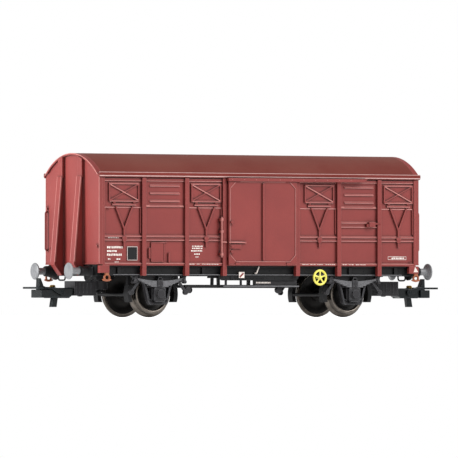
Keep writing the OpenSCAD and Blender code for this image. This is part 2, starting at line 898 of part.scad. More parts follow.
side_wall_left();
side_wall_right();
end_wall_front();
end_wall_rear();
roof();
load_floor();
ballast_weight();
floor_pan();
solebar_left();
solebar_right();
cross_bearers();
headstock_front();
headstock_rear();
door_left();
door_right();
door_track_left();
door_track_right();
door_latch_left();
door_latch_right();
door_step_left();
door_step_right();
grab_rail_front();
grab_rail_rear();
rope_eyes();
shunter_rails();
buffer_front_left();
buffer_front_right();
buffer_rear_left();
buffer_rear_right();
axle_guard_front_left();
axle_guard_front_right();
axle_guard_rear_left();
axle_guard_rear_right();
brake_shoes_front();
brake_shoes_rear();
brake_rigging();
brake_cylinder();
air_tank();
brake_wheel_left();
brake_wheel_right();
brake_plate_left();
brake_plate_right();
coupler_mount_front();
coupler_mount_rear();
axle_front();
wheel_front_left();
wheel_front_right();
axle_rear();
wheel_rear_left();
wheel_rear_right();
coupler_arm_front();
coupler_head_front();
coupler_loop_front();
coupler_arm_rear();
coupler_head_rear();
coupler_loop_rear();
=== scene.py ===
# Looks of a 1:87 model boxcar. Lengths in the dictionaries are millimetres.
import math
import numpy as np
import bpy
import bmesh
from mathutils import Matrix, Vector


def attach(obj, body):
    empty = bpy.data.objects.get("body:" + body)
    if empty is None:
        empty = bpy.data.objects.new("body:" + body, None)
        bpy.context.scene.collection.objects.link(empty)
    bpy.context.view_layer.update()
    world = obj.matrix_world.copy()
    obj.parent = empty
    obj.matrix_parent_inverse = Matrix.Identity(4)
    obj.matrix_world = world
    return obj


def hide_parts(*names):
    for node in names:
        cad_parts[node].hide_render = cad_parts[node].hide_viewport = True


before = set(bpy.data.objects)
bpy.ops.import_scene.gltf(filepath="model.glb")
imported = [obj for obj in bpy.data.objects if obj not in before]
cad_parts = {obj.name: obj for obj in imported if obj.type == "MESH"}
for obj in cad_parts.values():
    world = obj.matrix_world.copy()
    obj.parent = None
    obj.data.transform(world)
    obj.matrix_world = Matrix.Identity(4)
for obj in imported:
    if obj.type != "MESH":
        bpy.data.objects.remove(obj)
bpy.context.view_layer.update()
print("stage 1: frame loaded,", len(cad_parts), "nodes")

mm = 0.001
front, rear = "front", "rear"


# Every shape function returns (points, faces) in millimetres.

# A closed outline in a plane, carried along the third axis from a to b. The two end
# rings are drawn in by the chamfer c, so the solid has cut edges all round both ends.
def prism(outline, axis, a, b, c=0.08):
    ring = np.asarray(outline, float)
    along = np.roll(ring, -1, 0) - ring
    along /= np.linalg.norm(along, axis=1)[:, None]
    area = np.sum(ring[:, 0] * np.roll(ring[:, 1], -1) - np.roll(ring[:, 0], -1) * ring[:, 1])
    inward = np.stack([-along[:, 1], along[:, 0]], 1) * (1 if area > 0 else -1)
    before = np.roll(inward, 1, 0)
    mitre = inward + before
    mitre /= np.maximum(np.sum(mitre * before, 1), 0.35)[:, None]
    low, high = min(a, b), max(a, b)
    steps = [(low, c), (low + c, 0), (high - c, 0), (high, c)]
    n = len(ring)
    rings = []
    for height, drawIn in steps:
        flat = ring + mitre * drawIn
        up = np.full(n, height)
        order = {"x": (up, flat[:, 0], flat[:, 1]), "y": (flat[:, 0], up, flat[:, 1]),
                 "z": (flat[:, 0], flat[:, 1], up)}[axis]
        rings.append(np.stack(order, 1))
    faces = skinFaces(len(steps), n, True)
    faces += [tuple(range(n))[::-1], tuple(range(n * 3, n * 4))]
    return np.concatenate(rings), faces


# Quads between rows of a grid; the last column joins the first when it is closed.
def skinFaces(rows, cols, closed):
    i, j = np.meshgrid(np.arange(rows - 1), np.arange(cols if closed else cols - 1), indexing="ij")
    k = (j + 1) % cols
    quads = np.stack([i * cols + j, i * cols + k, (i + 1) * cols + k, (i + 1) * cols + j], -1)
    return [tuple(q) for q in quads.reshape(-1, 4).tolist()]


# A box: a rectangle with cut corners carried up z as a prism.
def block(low, high, c=0.08):
    (x0, y0, z0), (x1, y1, z1) = low, high
    c = min(c, (x1 - x0) * 0.3, (y1 - y0) * 0.3, (z1 - z0) * 0.3)
    outline = [(x0 + c, y0), (x1 - c, y0), (x1, y0 + c), (x1, y1 - c),
               (x1 - c, y1), (x0 + c, y1), (x0, y1 - c), (x0, y0 + c)]
    return prism(outline, "z", z0, z1, c)


# A surface of revolution: profile points (radius, height) turned through n steps about
# an axis through centre. A radius of 0 at either end closes it in a pole.
def lathe(profile, centre, axis, n=48):
    rh = np.asarray(profile, float)
    turn = np.arange(n) * 2 * math.pi / n
    r, h = rh[:, :1], np.repeat(rh[:, 1:], n, 1)
    a, b = r * np.cos(turn), r * np.sin(turn)
    order = {"x": (h, a, b), "y": (b, h, a), "z": (a, b, h)}[axis]
    return np.stack(order, -1).reshape(-1, 3) + np.asarray(centre, float), skinFaces(len(rh), n, True)


# The same, for a profile that closes on itself, such as a rim.
def latheRing(profile, centre, axis, n=64):
    points, faces = lathe(list(profile) + [profile[0]], centre, axis, n)
    keep = len(profile) * n
    return points[:keep], [tuple(v % keep for v in f) for f in faces]


# A circle carried along a path. Each ring stands square to the path, on a frame made from
# the path's direction and one fixed side vector, and the ends are drawn in to a pole.
def tube(path, r, n=10, side=(0.31, 0.2, 0.93)):
    p = np.asarray(path, float)
    d = np.gradient(p, axis=0)
    d /= np.linalg.norm(d, axis=1)[:, None]
    u = np.cross(d, side)
    u /= np.linalg.norm(u, axis=1)[:, None]
    v = np.cross(d, u)
    r = np.broadcast_to(np.asarray(r, float), len(p)).copy()
    cap = [(-1, 0.0), (-0.8, 0.6)], [(0.8, 0.6), (1, 0.0)]
    first = [(p[0] + d[0] * r[0] * s * 0.6, u[0], v[0], r[0] * k) for s, k in cap[0]]
    last = [(p[-1] + d[-1] * r[-1] * s * 0.6, u[-1], v[-1], r[-1] * k) for s, k in cap[1]]
    rows = first + list(zip(p, u, v, r)) + last
    turn = np.arange(n) * 2 * math.pi / n
    c = np.stack([row[0] for row in rows])[:, None]
    uu = np.stack([row[1] for row in rows])[:, None]
    vv = np.stack([row[2] for row in rows])[:, None]
    rr = np.array([row[3] for row in rows])[:, None, None]
    grid = c + rr * (uu * np.cos(turn)[None, :, None] + vv * np.sin(turn)[None, :, None])
    return grid.reshape(-1, 3), skinFaces(len(rows), n, True)


# A flat bar between two points of the XZ plane, from y0 to y1.
def strut(a, b, width, y0, y1, c=0.06):
    a, b = np.asarray(a, float), np.asarray(b, float)
    d = (b - a) / np.linalg.norm(b - a)
    s = np.array([-d[1], d[0]]) * width / 2
    return prism([a - s, b - s, b + s, a + s], "y", y0, y1, c)


# Round-headed rivets: one low dome, a quarter of a circle turned about the row's axis,
# copied to every place.
def rivets(places, axis, out, r=0.22, n=8):
    t = np.linspace(0, math.pi / 2, 4)
    profile = np.stack([r * np.cos(t), out * r * 0.6 * np.sin(t)], 1)
    base = np.concatenate([[[0, -out * 0.1], [r, -out * 0.1]], profile])
    points, faces = lathe(base, (0, 0, 0), axis, n)
    places = np.asarray(places, float)
    allPoints = (points[None] + places[:, None]).reshape(-1, 3)
    allFaces = [tuple(v + k * len(points) for v in f) for k in range(len(places)) for f in faces]
    return allPoints, allFaces


def join(parts):
    points, faces, start = [], [], 0
    for p, f in parts:
        points.append(p)
        faces += [tuple(v + start for v in face) for face in f]
        start += len(p)
    return np.concatenate(points), faces


# Half a turn about z, and the mirror images that the four corners need.
def turned(part, sx=-1, sy=-1):
    return part[0] * np.array([sx, sy, 1]), part[1]


# The part of one side or end: as it is for a flip of 1, turned half round for -1.
def sided(part, flip):
    return [turned(part, flip, flip)]


def piece(name, parts, body, material, replaces=(), smooth=38):
    points, faces = join(parts)
    mesh = bpy.data.meshes.new(name)
    mesh.from_pydata((points * mm).tolist(), [], faces)
    bm = bmesh.new()
    bm.from_mesh(mesh)
    bmesh.ops.remove_doubles(bm, verts=bm.verts, dist=1e-7)
    bmesh.ops.dissolve_degenerate(bm, edges=bm.edges, dist=1e-8)
    bmesh.ops.recalc_face_normals(bm, faces=bm.faces)
    bm.to_mesh(mesh)
    bm.free()
    mesh.shade_smooth()
    mesh.set_sharp_from_angle(angle=math.radians(smooth))
    mesh.materials.append(material)
    obj = bpy.data.objects.new(name, mesh)
    bpy.context.scene.collection.objects.link(obj)
    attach(obj, body)
    if replaces:
        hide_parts(*replaces)
    return obj


# An sRGB hex colour as linear values with an alpha of 1.
def linear(code):
    c = np.array([int(code[i:i + 2], 16) for i in (1, 3, 5)]) / 255
    c = np.where(c <= 0.04045, c / 12.92, ((c + 0.055) / 1.055) ** 2.4)
    return (*c.tolist(), 1.0)


# A node with its settings and its links by socket; "_" stands for a space in a socket's name.
def add(tree, kind, links=None, **settings):
    node = tree.nodes.new(kind)
    for key, value in settings.items():
        if hasattr(node, key):
            setattr(node, key, value)
        else:
            node.inputs[key.replace("_", " ")].default_value = value
    for key, source in (links or {}).items():
        tree.links.new(source, node.inputs[key])
    return node


# A value between low and high carried to the range from first to last, clamped at both ends.
def ranged(tree, value, low, high, first, last):
    node = add(tree, "ShaderNodeMapRange", {"Value": value}, From_Min=low, From_Max=high,
               To_Min=first, To_Max=last)
    return node.outputs["Result"]


# A colour covered by another, given in hex, where the share is 1.
def covered(tree, share, under, code):
    node = add(tree, "ShaderNodeMix", {"Factor": share, "A": under}, data_type="RGBA")
    node.inputs["B"].default_value = linear(code)
    return node.outputs["Result"]


# Shared body of all finishes: a base colour that drifts over a few millimetres, fine
# grain in colour and height, rounded-looking edges, a paler tone on the edges that is partly
# rubbed wear and partly painted highlight, and painted shade darkening the corners. Every
# value is in the finish's own dictionary.
def finish(name, look):
    mat = bpy.data.materials.new(name)
    mat.use_nodes = True
    tree = mat.node_tree
    tree.nodes.clear()
    out = add(tree, "ShaderNodeOutputMaterial")
    shader = add(tree, "ShaderNodeBsdfPrincipled")
    tree.links.new(shader.outputs[0], out.inputs[0])
    shader.inputs["Metallic"].default_value = look.get("metallic", 0.0)
    if not look.get("metallic"):
        shader.inputs["IOR"].default_value = 1.5
    shader.inputs["Specular IOR Level"].default_value = look.get("specular", 0.5)
    place = add(tree, "ShaderNodeTexCoord").outputs["Object"]
    # 1 mm is 0.001 here, so a pattern of s mm has a scale of 1000 / s
    drift = add(tree, "ShaderNodeTexNoise", {"Vector": place}, Scale=1000 / look["driftMm"],
                Detail=3.0, Roughness=0.55)
    grain = add(tree, "ShaderNodeTexNoise", {"Vector": place}, Scale=1000 / look["grainMm"],
                Detail=4.0, Roughness=0.6)
    tone = add(tree, "ShaderNodeValToRGB", {"Fac": drift.outputs["Fac"]})
    tone.color_ramp.elements[0].position, tone.color_ramp.elements[1].position = 0.32, 0.68
    tone.color_ramp.elements[0].color = linear(look["dark"])
    tone.color_ramp.elements[1].color = linear(look["light"])
    tint = look["grainTint"]
    speck = ranged(tree, grain.outputs["Fac"], 0.35, 0.65, 1 - tint, 1 + tint)
    toned = add(tree, "ShaderNodeVectorMath", {0: tone.outputs["Color"]}, operation="SCALE")
    tree.links.new(speck, toned.inputs["Scale"])
    # the bevel shader's normal leaves the true one only near an edge: that gap is the mask of the paler
    # edge tone, partly rubbed wear and partly painted highlight
    soft = add(tree, "ShaderNodeBevel", Radius=look.get("edgeMm", 0.12) * mm)
    soft.samples = 6
    geo = add(tree, "ShaderNodeNewGeometry")
    gap = add(tree, "ShaderNodeVectorMath", {0: soft.outputs["Normal"], 1: geo.outputs["Normal"]},
              operation="DOT_PRODUCT")
    wearAndHighlight = ranged(tree, gap.outputs["Value"], 0.995, 0.86, 0.0, look["wearAndHighlight"])
    wornAndHighlit = covered(tree, wearAndHighlight, toned.outputs["Vector"], look["edge"])
    # painted shade: a dark colour laid into corners and hollows, where shade would fall; its share grows
    # as the surface closes in
    near = add(tree, "ShaderNodeAmbientOcclusion", Distance=look.get("paintedShadeMm", 1.0) * mm)
    near.samples = 8
    paintedShade = ranged(tree, near.outputs["AO"], 0.92, look.get("paintedShadeFull", 0.35), 0.0,
                  look.get("paintedShade", 0.6))
    colour = covered(tree, paintedShade, wornAndHighlit, look.get("paintedShadeColour", "#060606"))
    if "dust" in look:
        # dust lies on what faces up, more where the drift pattern is high
        facing = add(tree, "ShaderNodeSeparateXYZ", {"Vector": geo.outputs["Normal"]})
        lie = ranged(tree, facing.outputs["Z"], 0.35, 1.0, 0.0, look["dust"])
        patchy = add(tree, "ShaderNodeMath", {0: lie, 1: drift.outputs["Fac"]},
                     operation="MULTIPLY")
        colour = covered(tree, patchy.outputs["Value"], colour, look["dustColour"])
    tree.links.new(colour, shader.inputs["Base Color"])
    rough = ranged(tree, grain.outputs["Fac"], 0.3, 0.7, look["rough"] - look["roughSpread"],
                   look["rough"] + look["roughSpread"])
    tree.links.new(rough, shader.inputs["Roughness"])
    bump = add(tree, "ShaderNodeBump", {"Height": grain.outputs["Fac"],
                                        "Normal": soft.outputs["Normal"]},
               Strength=look["bump"], Distance=look["grainMm"] * mm * 0.5)
    tree.links.new(bump.outputs["Normal"], shader.inputs["Normal"])
    return mat


# Satin paint sprayed over moulded styrene: an even red-brown, faintly mottled, with an
# orange-peel grain about 0.4 mm across (drawn coarse enough to show) and soft sheen.
satinRedPaint = finish("satinRedPaint", dict(
    dark="#772B28", light="#80302C", driftMm=14, grainMm=0.4, grainTint=0.035, rough=0.46,
    roughSpread=0.07, bump=0.12, wearAndHighlight=0.45, edge="#B97870", edgeMm=0.14, specular=0.35,
    paintedShade=0.9, paintedShadeFull=0.45, paintedShadeColour="#3E0A08"))
# The same paint made paler as a painted highlight, for raised ridges and lips.
paintedHighlightRed = finish("paintedHighlightRed", dict(
    dark="#A4625D", light="#B4716B", driftMm=5, grainMm=0.3, grainTint=0.06, rough=0.42,
    roughSpread=0.07, bump=0.1, wearAndHighlight=0.45, edge="#DCA8A0", edgeMm=0.1, specular=0.4,
    paintedShade=0.3, paintedShadeMm=0.5, paintedShadeColour="#5E1815"))
# Again the same paint, paler still as a painted highlight, for the gutter's lips.
paintedHighlightGutter = finish("paintedHighlightGutter", dict(
    dark="#B38E8A", light="#C9A5A0", driftMm=6, grainMm=0.3, grainTint=0.08, rough=0.45,
    roughSpread=0.07, bump=0.1, wearAndHighlight=0.4, edge="#D9BFBB", edgeMm=0.1, specular=0.4,
    paintedShade=0.3, paintedShadeMm=0.4, paintedShadeColour="#5E2A27"))
# The same paint with more matting agent on the roof, turning brown-grey on what faces up.
mattRoofPaint = finish("mattRoofPaint", dict(
    dark="#68251F", light="#722B25", driftMm=18, grainMm=0.35, grainTint=0.05, rough=0.62,
    roughSpread=0.08, bump=0.16, wearAndHighlight=0.45, edge="#B5837A", edgeMm=0.14, dust=0.8,
    dustColour="#6E4C41", specular=0.16, paintedShade=0.6, paintedShadeColour="#320C08"))
# Black acetal moulding left unpainted: near-black, smooth, a little greasy in its sheen.
blackMoulding = finish("blackMoulding", dict(
    dark="#0B0B0C", light="#121214", driftMm=9, grainMm=0.3, grainTint=0.08, rough=0.5,
    roughSpread=0.08, bump=0.14, wearAndHighlight=0.45, edge="#4B4B4E", edgeMm=0.12, specular=0.22))
# Dark grey nylon running gear, its raised detail read by paler edges: partly dry-brushed
# wear, partly painted highlight.
greyMoulding = finish("greyMoulding", dict(
    dark="#19181B", light="#252427", driftMm=5, grainMm=0.3, grainTint=0.12, rough=0.5,
    roughSpread=0.1, bump=0.22, wearAndHighlight=0.65, edge="#7C7C80", edgeMm=0.14, dust=0.2,
    dustColour="#55514D", specular=0.3, paintedShade=0.85))
# The same nylon made mid grey as a painted highlight, for spring leaves and edges.
paintedHighlightGrey = finish("paintedHighlightGrey", dict(
    dark="#47474A", light="#5E5E61", driftMm=2, grainMm=0.25, grainTint=0.14, rough=0.48,
    roughSpread=0.08, bump=0.15, wearAndHighlight=0.7, edge="#A9A9AC", edgeMm=0.1, specular=0.35, paintedShade=0.8))
# Coupler acetal: deep green-black with a glossy skin.
glossBlackAcetal = finish("glossBlackAcetal", dict(
    dark="#050A0B", light="#091113", driftMm=6, grainMm=0.3, grainTint=0.06, rough=0.3,
    roughSpread=0.06, bump=0.08, wearAndHighlight=0.4, edge="#334851", edgeMm=0.14, specular=0.28))
# Light grey buffer heads: cast metal under a thin coat of grey enamel, slightly scuffed.
greyEnamel = finish("greyEnamel", dict(
    dark="#66676A", light="#77787A", driftMm=2.2, grainMm=0.25, grainTint=0.07, rough=0.38,
    roughSpread=0.09, bump=0.12, wearAndHighlight=0.7, edge="#D2D2D2", edgeMm=0.1))
# Turned and blackened steel of the wheel discs.
blackenedSteel = finish("blackenedSteel", dict(
    dark="#110F0E", light="#1C1917", driftMm=2.5, grainMm=0.22, grainTint=0.15, rough=0.45,
    roughSpread=0.1, bump=0.18, wearAndHighlight=0.5, edge="#4E4740", edgeMm=0.1, metallic=0.6))
# Bright turned steel of the treads, polished by the rails.
brightSteel = finish("brightSteel", dict(
    dark="#5C5650", light="#777069", driftMm=2, grainMm=0.2, grainTint=0.08, rough=0.3,
    roughSpread=0.07, bump=0.1, wearAndHighlight=0.85, edge="#DDD6CC", edgeMm=0.1, metallic=1.0))
# Yellow styrene of the brake handwheels, with painted shade darkening its hollows.
yellowStyrene = finish("yellowStyrene", dict(
    dark="#D9CF4C", light="#E8E068", driftMm=1.6, grainMm=0.2, grainTint=0.05, rough=0.4,
    roughSpread=0.06, bump=0.08, wearAndHighlight=0.6, edge="#F6F2A8", edgeMm=0.1))
# Orange-brown acetal of the rope eyes, paler on the rims: partly rubbed wear, partly painted highlight.
orangeAcetal = finish("orangeAcetal", dict(
    dark="#7E3F20", light="#97502B", driftMm=1.8, grainMm=0.2, grainTint=0.08, rough=0.45,
    roughSpread=0.08, bump=0.14, wearAndHighlight=0.6, edge="#DC9160", edgeMm=0.1))
# Pad-printed ink: thin off-white, a little broken so that the paint shows through.
whiteInk = finish("whiteInk", dict(
    dark="#CDBFB8", light="#EFE9E2", driftMm=0.7, grainMm=0.16, grainTint=0.1, rough=0.5,
    roughSpread=0.06, bump=0.05, wearAndHighlight=0.1, edge="#FFFFFF", edgeMm=0.05))
# Brass coupler spring.
brassWire = finish("brassWire", dict(
    dark="#8C6B2C", light="#B08C42", driftMm=1, grainMm=0.15, grainTint=0.08, rough=0.3,
    roughSpread=0.06, bump=0.06, wearAndHighlight=0.4, edge="#E2C98A", edgeMm=0.06, metallic=1.0))
# Deck boards moulded in brown styrene and dry-brushed like weathered pine.
brownDeck = finish("brownDeck", dict(
    dark="#57402F", light="#7A5C44", driftMm=3, grainMm=0.5, grainTint=0.16, rough=0.7,
    roughSpread=0.08, bump=0.3, wearAndHighlight=0.4, edge="#9A8066", edgeMm=0.1, dust=0.3,
    dustColour="#8C7C6A"))
# Zinc-plated steel of the ballast strip, hidden under the deck.
zincSteel = finish("zincSteel", dict(
    dark="#7E8084", light="#94979B", driftMm=3, grainMm=0.4, grainTint=0.08, rough=0.4,
    roughSpread=0.08, bump=0.1, wearAndHighlight=0.2, edge="#B9BBBF", edgeMm=0.1, metallic=1.0))
print("stage 2: materials made")

nodeFinish = {
    "side_wall": satinRedPaint, "end_wall": satinRedPaint, "door": satinRedPaint,
    "door_track": satinRedPaint, "door_latch": satinRedPaint, "grab_rail": satinRedPaint,
    "roof": mattRoofPaint, "load_floor": brownDeck, "ballast_weight": zincSteel,
    "floor_pan": blackMoulding, "solebar": blackMoulding, "headstock": blackMoulding,
    "cross_bearers": blackMoulding,
    "door_step": greyMoulding, "rope_eyes": orangeAcetal, "shunter_rails": blackMoulding,
    "buffer": greyEnamel, "axle_guard": greyMoulding, "brake_shoes": blackMoulding,
    "brake_rigging": blackMoulding, "brake_cylinder": blackMoulding, "air_tank": blackMoulding,
    "brake_wheel": yellowStyrene, "brake_plate": whiteInk, "coupler_mount": blackMoulding,
    "axle": brightSteel, "wheel": blackenedSteel, "coupler_arm": greyMoulding,
    "coupler_head": glossBlackAcetal, "coupler_loop": glossBlackAcetal,
}
for nodeName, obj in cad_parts.items():
    key = max((k for k in nodeFinish if nodeName == k or nodeName.startswith(k + "_")), key=len)
    obj.data.materials.clear()
    obj.data.materials.append(nodeFinish[key])
print("stage 3: CAD nodes dressed")


# Sides: planes of sheet and posts, then what stands where along X.
side = dict(
    panelY=15.1, postY=15.9, posts=(-39.05, -24.85, -12.3, 12.3, 26.3, 40.05),
    bays=((-51.9, -39.7), (-38.4, -25.5), (-24.2, -12.95), (12.95, 25.65), (26.95, 39.4),
          (40.7, 51.9)),
    ventBays=(0, 2, 3, 5), vents=(-45.5, -18.3, 19.75, 46.7), ventHalf=5.0,
    blankBays=(1, 4), blanks=(-32.0, 33.3), louvres=(33.2, 35.4, 37.6),
    cornerStuds=(16.5, 20.5, 24.5, 28.5, 32.5, 36.5),
)
ventPlaces = [(side["bays"][k], x) for k, x in zip(side["ventBays"], side["vents"])]
blankPlaces = [(side["bays"][k], x) for k, x in zip(side["blankBays"], side["blanks"])]


# A closed frame of flat bars that follows an outline in XZ, one strut along each side.
def outlineBars(outline, width, y0, y1):
    ends = list(outline) + [outline[0]]
    return join([strut(a, b, width, y0, y1, 0.03) for a, b in zip(ends[:-1], ends[1:])])


def rect(x0, x1, z0, z1):
    return [(x0, z0), (x1, z0), (x1, z1), (x0, z1)]


# A ridge along x: a flat front, then a slope that runs up and back to the sheet.
def ridge(x0, x1, low, high, proud, c=0.04):
    y = -side["panelY"]
    return prism([(y + 0.03, low), (y - proud, low), (y - proud, low + 0.12), (y - 0.05, high),
                  (y + 0.03, high)], "x", x0, x1, c)


def sideTrim():
    s = side
    y = -s["panelY"]
    parts = []
    # slim uprights in the ventilated bays, and the edge of the sheet's pressed field
    for (a, b), x in ventPlaces:
        parts.append(block((b - 0.5, y - 0.4, 24.0), (b - 0.2, y + 0.05, 31.2), 0.05))
        parts.append(block((a + 0.15, y - 0.16, 24.0), (a + 0.4, y + 0.05, 31.2), 0.04))
        # ventilator hinges and corner studs
        parts.append(rivets([(x + dx, y - 0.45, z) for dx in (-4.8, 4.8) for z in (33.2, 38.1)],
                            "y", -1, 0.14))
        barrel = [(0, -0.4), (0.16, -0.4), (0.2, -0.32), (0.2, 0.32), (0.16, 0.4), (0, 0.4)]
        parts += [lathe(barrel, (x + dx, y - 0.36, 32.72), "x", 10) for dx in (-3.3, 3.3)]
        # fork: its boss, and the guide clip of its stem on the waist rail
        parts.append(lathe([(0, -0.66), (0.22, -0.64), (0.32, -0.54), (0.32, 0.1), (0, 0.1)],
                           (x, y, 25.25), "y", 12))
        parts.append(block((x - 0.8, y - 0.74, 22.3), (x + 0.8, y - 0.3, 23.0), 0.06))
        parts.append(rivets([(x - 0.62, y - 0.74, 22.65), (x + 0.62, y - 0.74, 22.65)], "y", -1, 0.11))
    # studs on the posts
    for x in s["posts"]:
        parts.append(rivets([(x, -s["postY"], z) for z in (12.6, 13.9, 22.6, 31.9, 38.6)],
                            "y", -1, 0.15))
    # jamb studs down the right of the doorway, sunk a little so that the door clears them
    jamb = (17.4, 20.4, 24.9, 28.1, 31.4, 34.6, 37.4)
    parts.append(rivets([(12.6, 0.05 - s["postY"], z) for z in jamb], "y", -1, 0.17))
    # corner strips' studs
    parts.append(rivets([(sx * 52.2, -15.6, z) for sx in (-1, 1) for z in s["cornerStuds"]],
                        "y", -1, 0.15))
    # note board: raised frame and clip
    parts.append(outlineBars(rect(-36.5, -32.3, 15.95, 21.35), 0.22, y - 0.42, y - 0.25))
    parts.append(block((-33.6, y - 0.38, 21.3), (-31.4, y + 0.05, 21.6), 0.05))
    parts.append(block((-37.45, y - 0.5, 16.9), (-37.1, y - 0.25, 19.8), 0.05))
    # door catch on the bay that the open door covers
    parts.append(tube([(35.7, y - 0.7, 26.4), (36.4, y - 0.95, 26.8), (37.6, y - 1.1, 27.05),
                       (38.8, y - 0.95, 27.1), (40.3, y - 0.75, 27.0)], [0.2, 0.26, 0.3, 0.24, 0.16], 8))
    parts.append(lathe([(0, -0.9), (0.45, -0.86), (0.55, -0.7), (0.55, 0.1), (0, 0.1)],
                       (36.0, y - 0.3, 26.6), "y", 14))
    # small hooks by the left corner and the lower rail
    for x, z in ((-50.6, 31.0), (50.9, 15.9), (-12.3, 28.9)):
        hook = [(x - 0.4, y - 0.3, z), (x, y - 0.55, z - 0.1), (x + 0.4, y - 0.3, z)]
        parts.append(tube(hook, 0.12, 6))
    return join(parts)


# Ridges drawn in the paler paint of a painted highlight: louvres, rails, frames of the ventilators, and
# the eaves.
def sideRidges():
    s = side
    y = -s["panelY"]
    parts = []
    for a, b in s["bays"]:
        parts += [ridge(a, b, 22.96, 23.5, 0.46), ridge(a, b, 21.92, 22.46, 0.46),
                  ridge(a, b, 38.85, 39.2, 0.34), ridge(a, b, 15.3, 15.66, 0.49)]
    for (a, b), x in blankPlaces:
        parts += [ridge(x - 4.95, x + 4.95, z - 0.21, z + 0.34, 0.4) for z in s["louvres"]]
        parts.append(ridge(a + 0.25, b - 0.25, 31.54, 32.1, 0.4))
    a, b = s["bays"][4]
    parts += [ridge(a, b, 25.98, 26.48, 0.4), ridge(a, b, 27.18, 27.68, 0.4)]
    h = s["ventHalf"]
    for (a, b), x in ventPlaces:
        parts += [ridge(x - h, x + h, 37.98, 38.45, 0.5),
                  ridge(x - h + 0.3, x + h - 0.3, 33.0, 33.5, 0.52),
                  ridge(x - 3.95, x + 3.95, 31.93, 32.5, 0.5), ridge(a, b, 31.25, 31.5, 0.14)]
        parts.append(strut((x - 4.55, 37.85), (x + 4.55, 33.45), 0.3, y - 0.5, y - 0.3, 0.04))
    return join(parts)


# Eaves: the gutter's lip and its lower edge, two beads carried the length of the wagon.
def eaveBeads():
    lip = [(-15.82, 41.15), (-16.14, 41.15), (-16.14, 41.3), (-15.98, 41.45), (-15.82, 41.4)]
    low = [(-15.9, 40.2), (-16.1, 40.2), (-16.22, 40.36), (-16.14, 40.6), (-15.95, 40.6)]
    return join([prism(lip, "x", -53.9, 53.9, 0.04), prism(low, "x", -53.9, 53.9, 0.04)])


# the side ridges and the gutter beads carry painted highlights: paler copies of the red paint
for name, flip in (("left", 1), ("right", -1)):
    piece("sideRidges_" + name, sided(sideRidges(), flip), "wagon", paintedHighlightRed)
    piece("eaveBeads_" + name, sided(eaveBeads(), flip), "wagon", paintedHighlightGutter)
    piece("sideTrim_" + name, sided(sideTrim(), flip), "wagon", satinRedPaint)


# Printed marks without any lettering: plain strips and panels, a hair above the paint.
def inkMarks(apron):
    y = -side["panelY"]
    rng = np.random.default_rng(7)
    parts = []

    # a broken strip: dashes of uneven length with fine gaps, drawn by a seeded generator
    def strip(x0, x1, z, height=0.4, proud=0.0, dash=(0.25, 0.6), gap=(0.1, 0.22)):
        x = x0
        while x < x1 - 0.1:
            end = min(x + rng.uniform(*dash), x1)
            lift = rng.uniform(-0.06, 0.06) * height
            parts.append(block((x, y - proud - 0.035, z - height / 2 + lift),
                               (end, y - proud + 0.02, z + height / 2 + lift), 0.01))
            x = end + rng.uniform(*gap)

    for x0, x1, z, h in ((-50.9, -45.8, 19.95, 0.6), (-50.9, -47.7, 18.9, 0.5),
                         (-50.9, -46.1, 17.85, 0.6), (-50.6, -49.7, 16.6, 0.36),
                         (-47.8, -46.5, 16.6, 0.36), (-48.4, -47.1, 15.75, 0.3)):
        strip(x0, x1, z, h)
    strip(-50.6, -46.9, 22.7, 0.26, 0.2, (0.2, 0.4), (0.15, 0.3))
    for x0, x1, z, h in ((-22.8, -19.1, 20.35, 0.36), (-22.8, -19.1, 19.75, 0.36),
                         (-23.1, -19.3, 19.05, 0.4), (-22.1, -20.2, 18.1, 0.34),
                         (-21.7, -20.6, 17.3, 0.26), (44.6, 48.9, 17.15, 0.4)):
        strip(x0, x1, z, h)
    parts.append(outlineBars(rect(43.4, 49.6, 16.75, 17.6), 0.13, y - 0.035, y + 0.02))
    # a broken strip on the apron plate, and a small triangle on the right-hand corner gusset
    if apron:
        for x in np.arange(-0.6, 4.4, 0.5):
            parts.append(block((x, -13.74, 9.75), (x + 0.38, -13.68, 10.2), 0.01))
    parts.append(prism([(51.9, 13.1), (53.5, 13.1), (52.4, 14.65)], "y", -15.64, -15.58, 0.01))
    for x0, x1 in ((-24.0, -22.3), (-21.5, -20.6), (-19.8, -14.3), (13.9, 16.0), (16.6, 18.4),
                   (19.0, 21.1), (21.8, 25.0), (27.6, 29.1), (29.7, 31.5), (32.1, 35.4)):
        strip(x0, x1, 15.25, 0.2, 0.45)
    return join(parts)


def blackPanel():
    return block((-44.2, -15.32, 16.45), (-41.2, -15.2, 20.0), 0.03)


def panelBorder():
    return outlineBars(rect(-44.32, -41.08, 16.33, 20.12), 0.12, -15.34, -15.2)


for name, flip in (("left", 1), ("right", -1)):
    piece("inkMarks_" + name, sided(inkMarks(flip == 1), flip), "wagon", whiteInk)
    piece("blackPanel_" + name, sided(blackPanel(), flip), "wagon", blackMoulding)
    piece("panelBorder_" + name, sided(panelBorder(), flip), "wagon", whiteInk)


# Doors: the outer face, and the outline of the bead round the panel.
door = dict(face=-16.7,
            bead=[(-10.95, 17.9), (-10.95, 37.05), (-9.05, 38.95), (9.05, 38.95), (10.95, 37.05),
                  (10.95, 17.9), (9.05, 16.0), (-9.05, 16.0)])


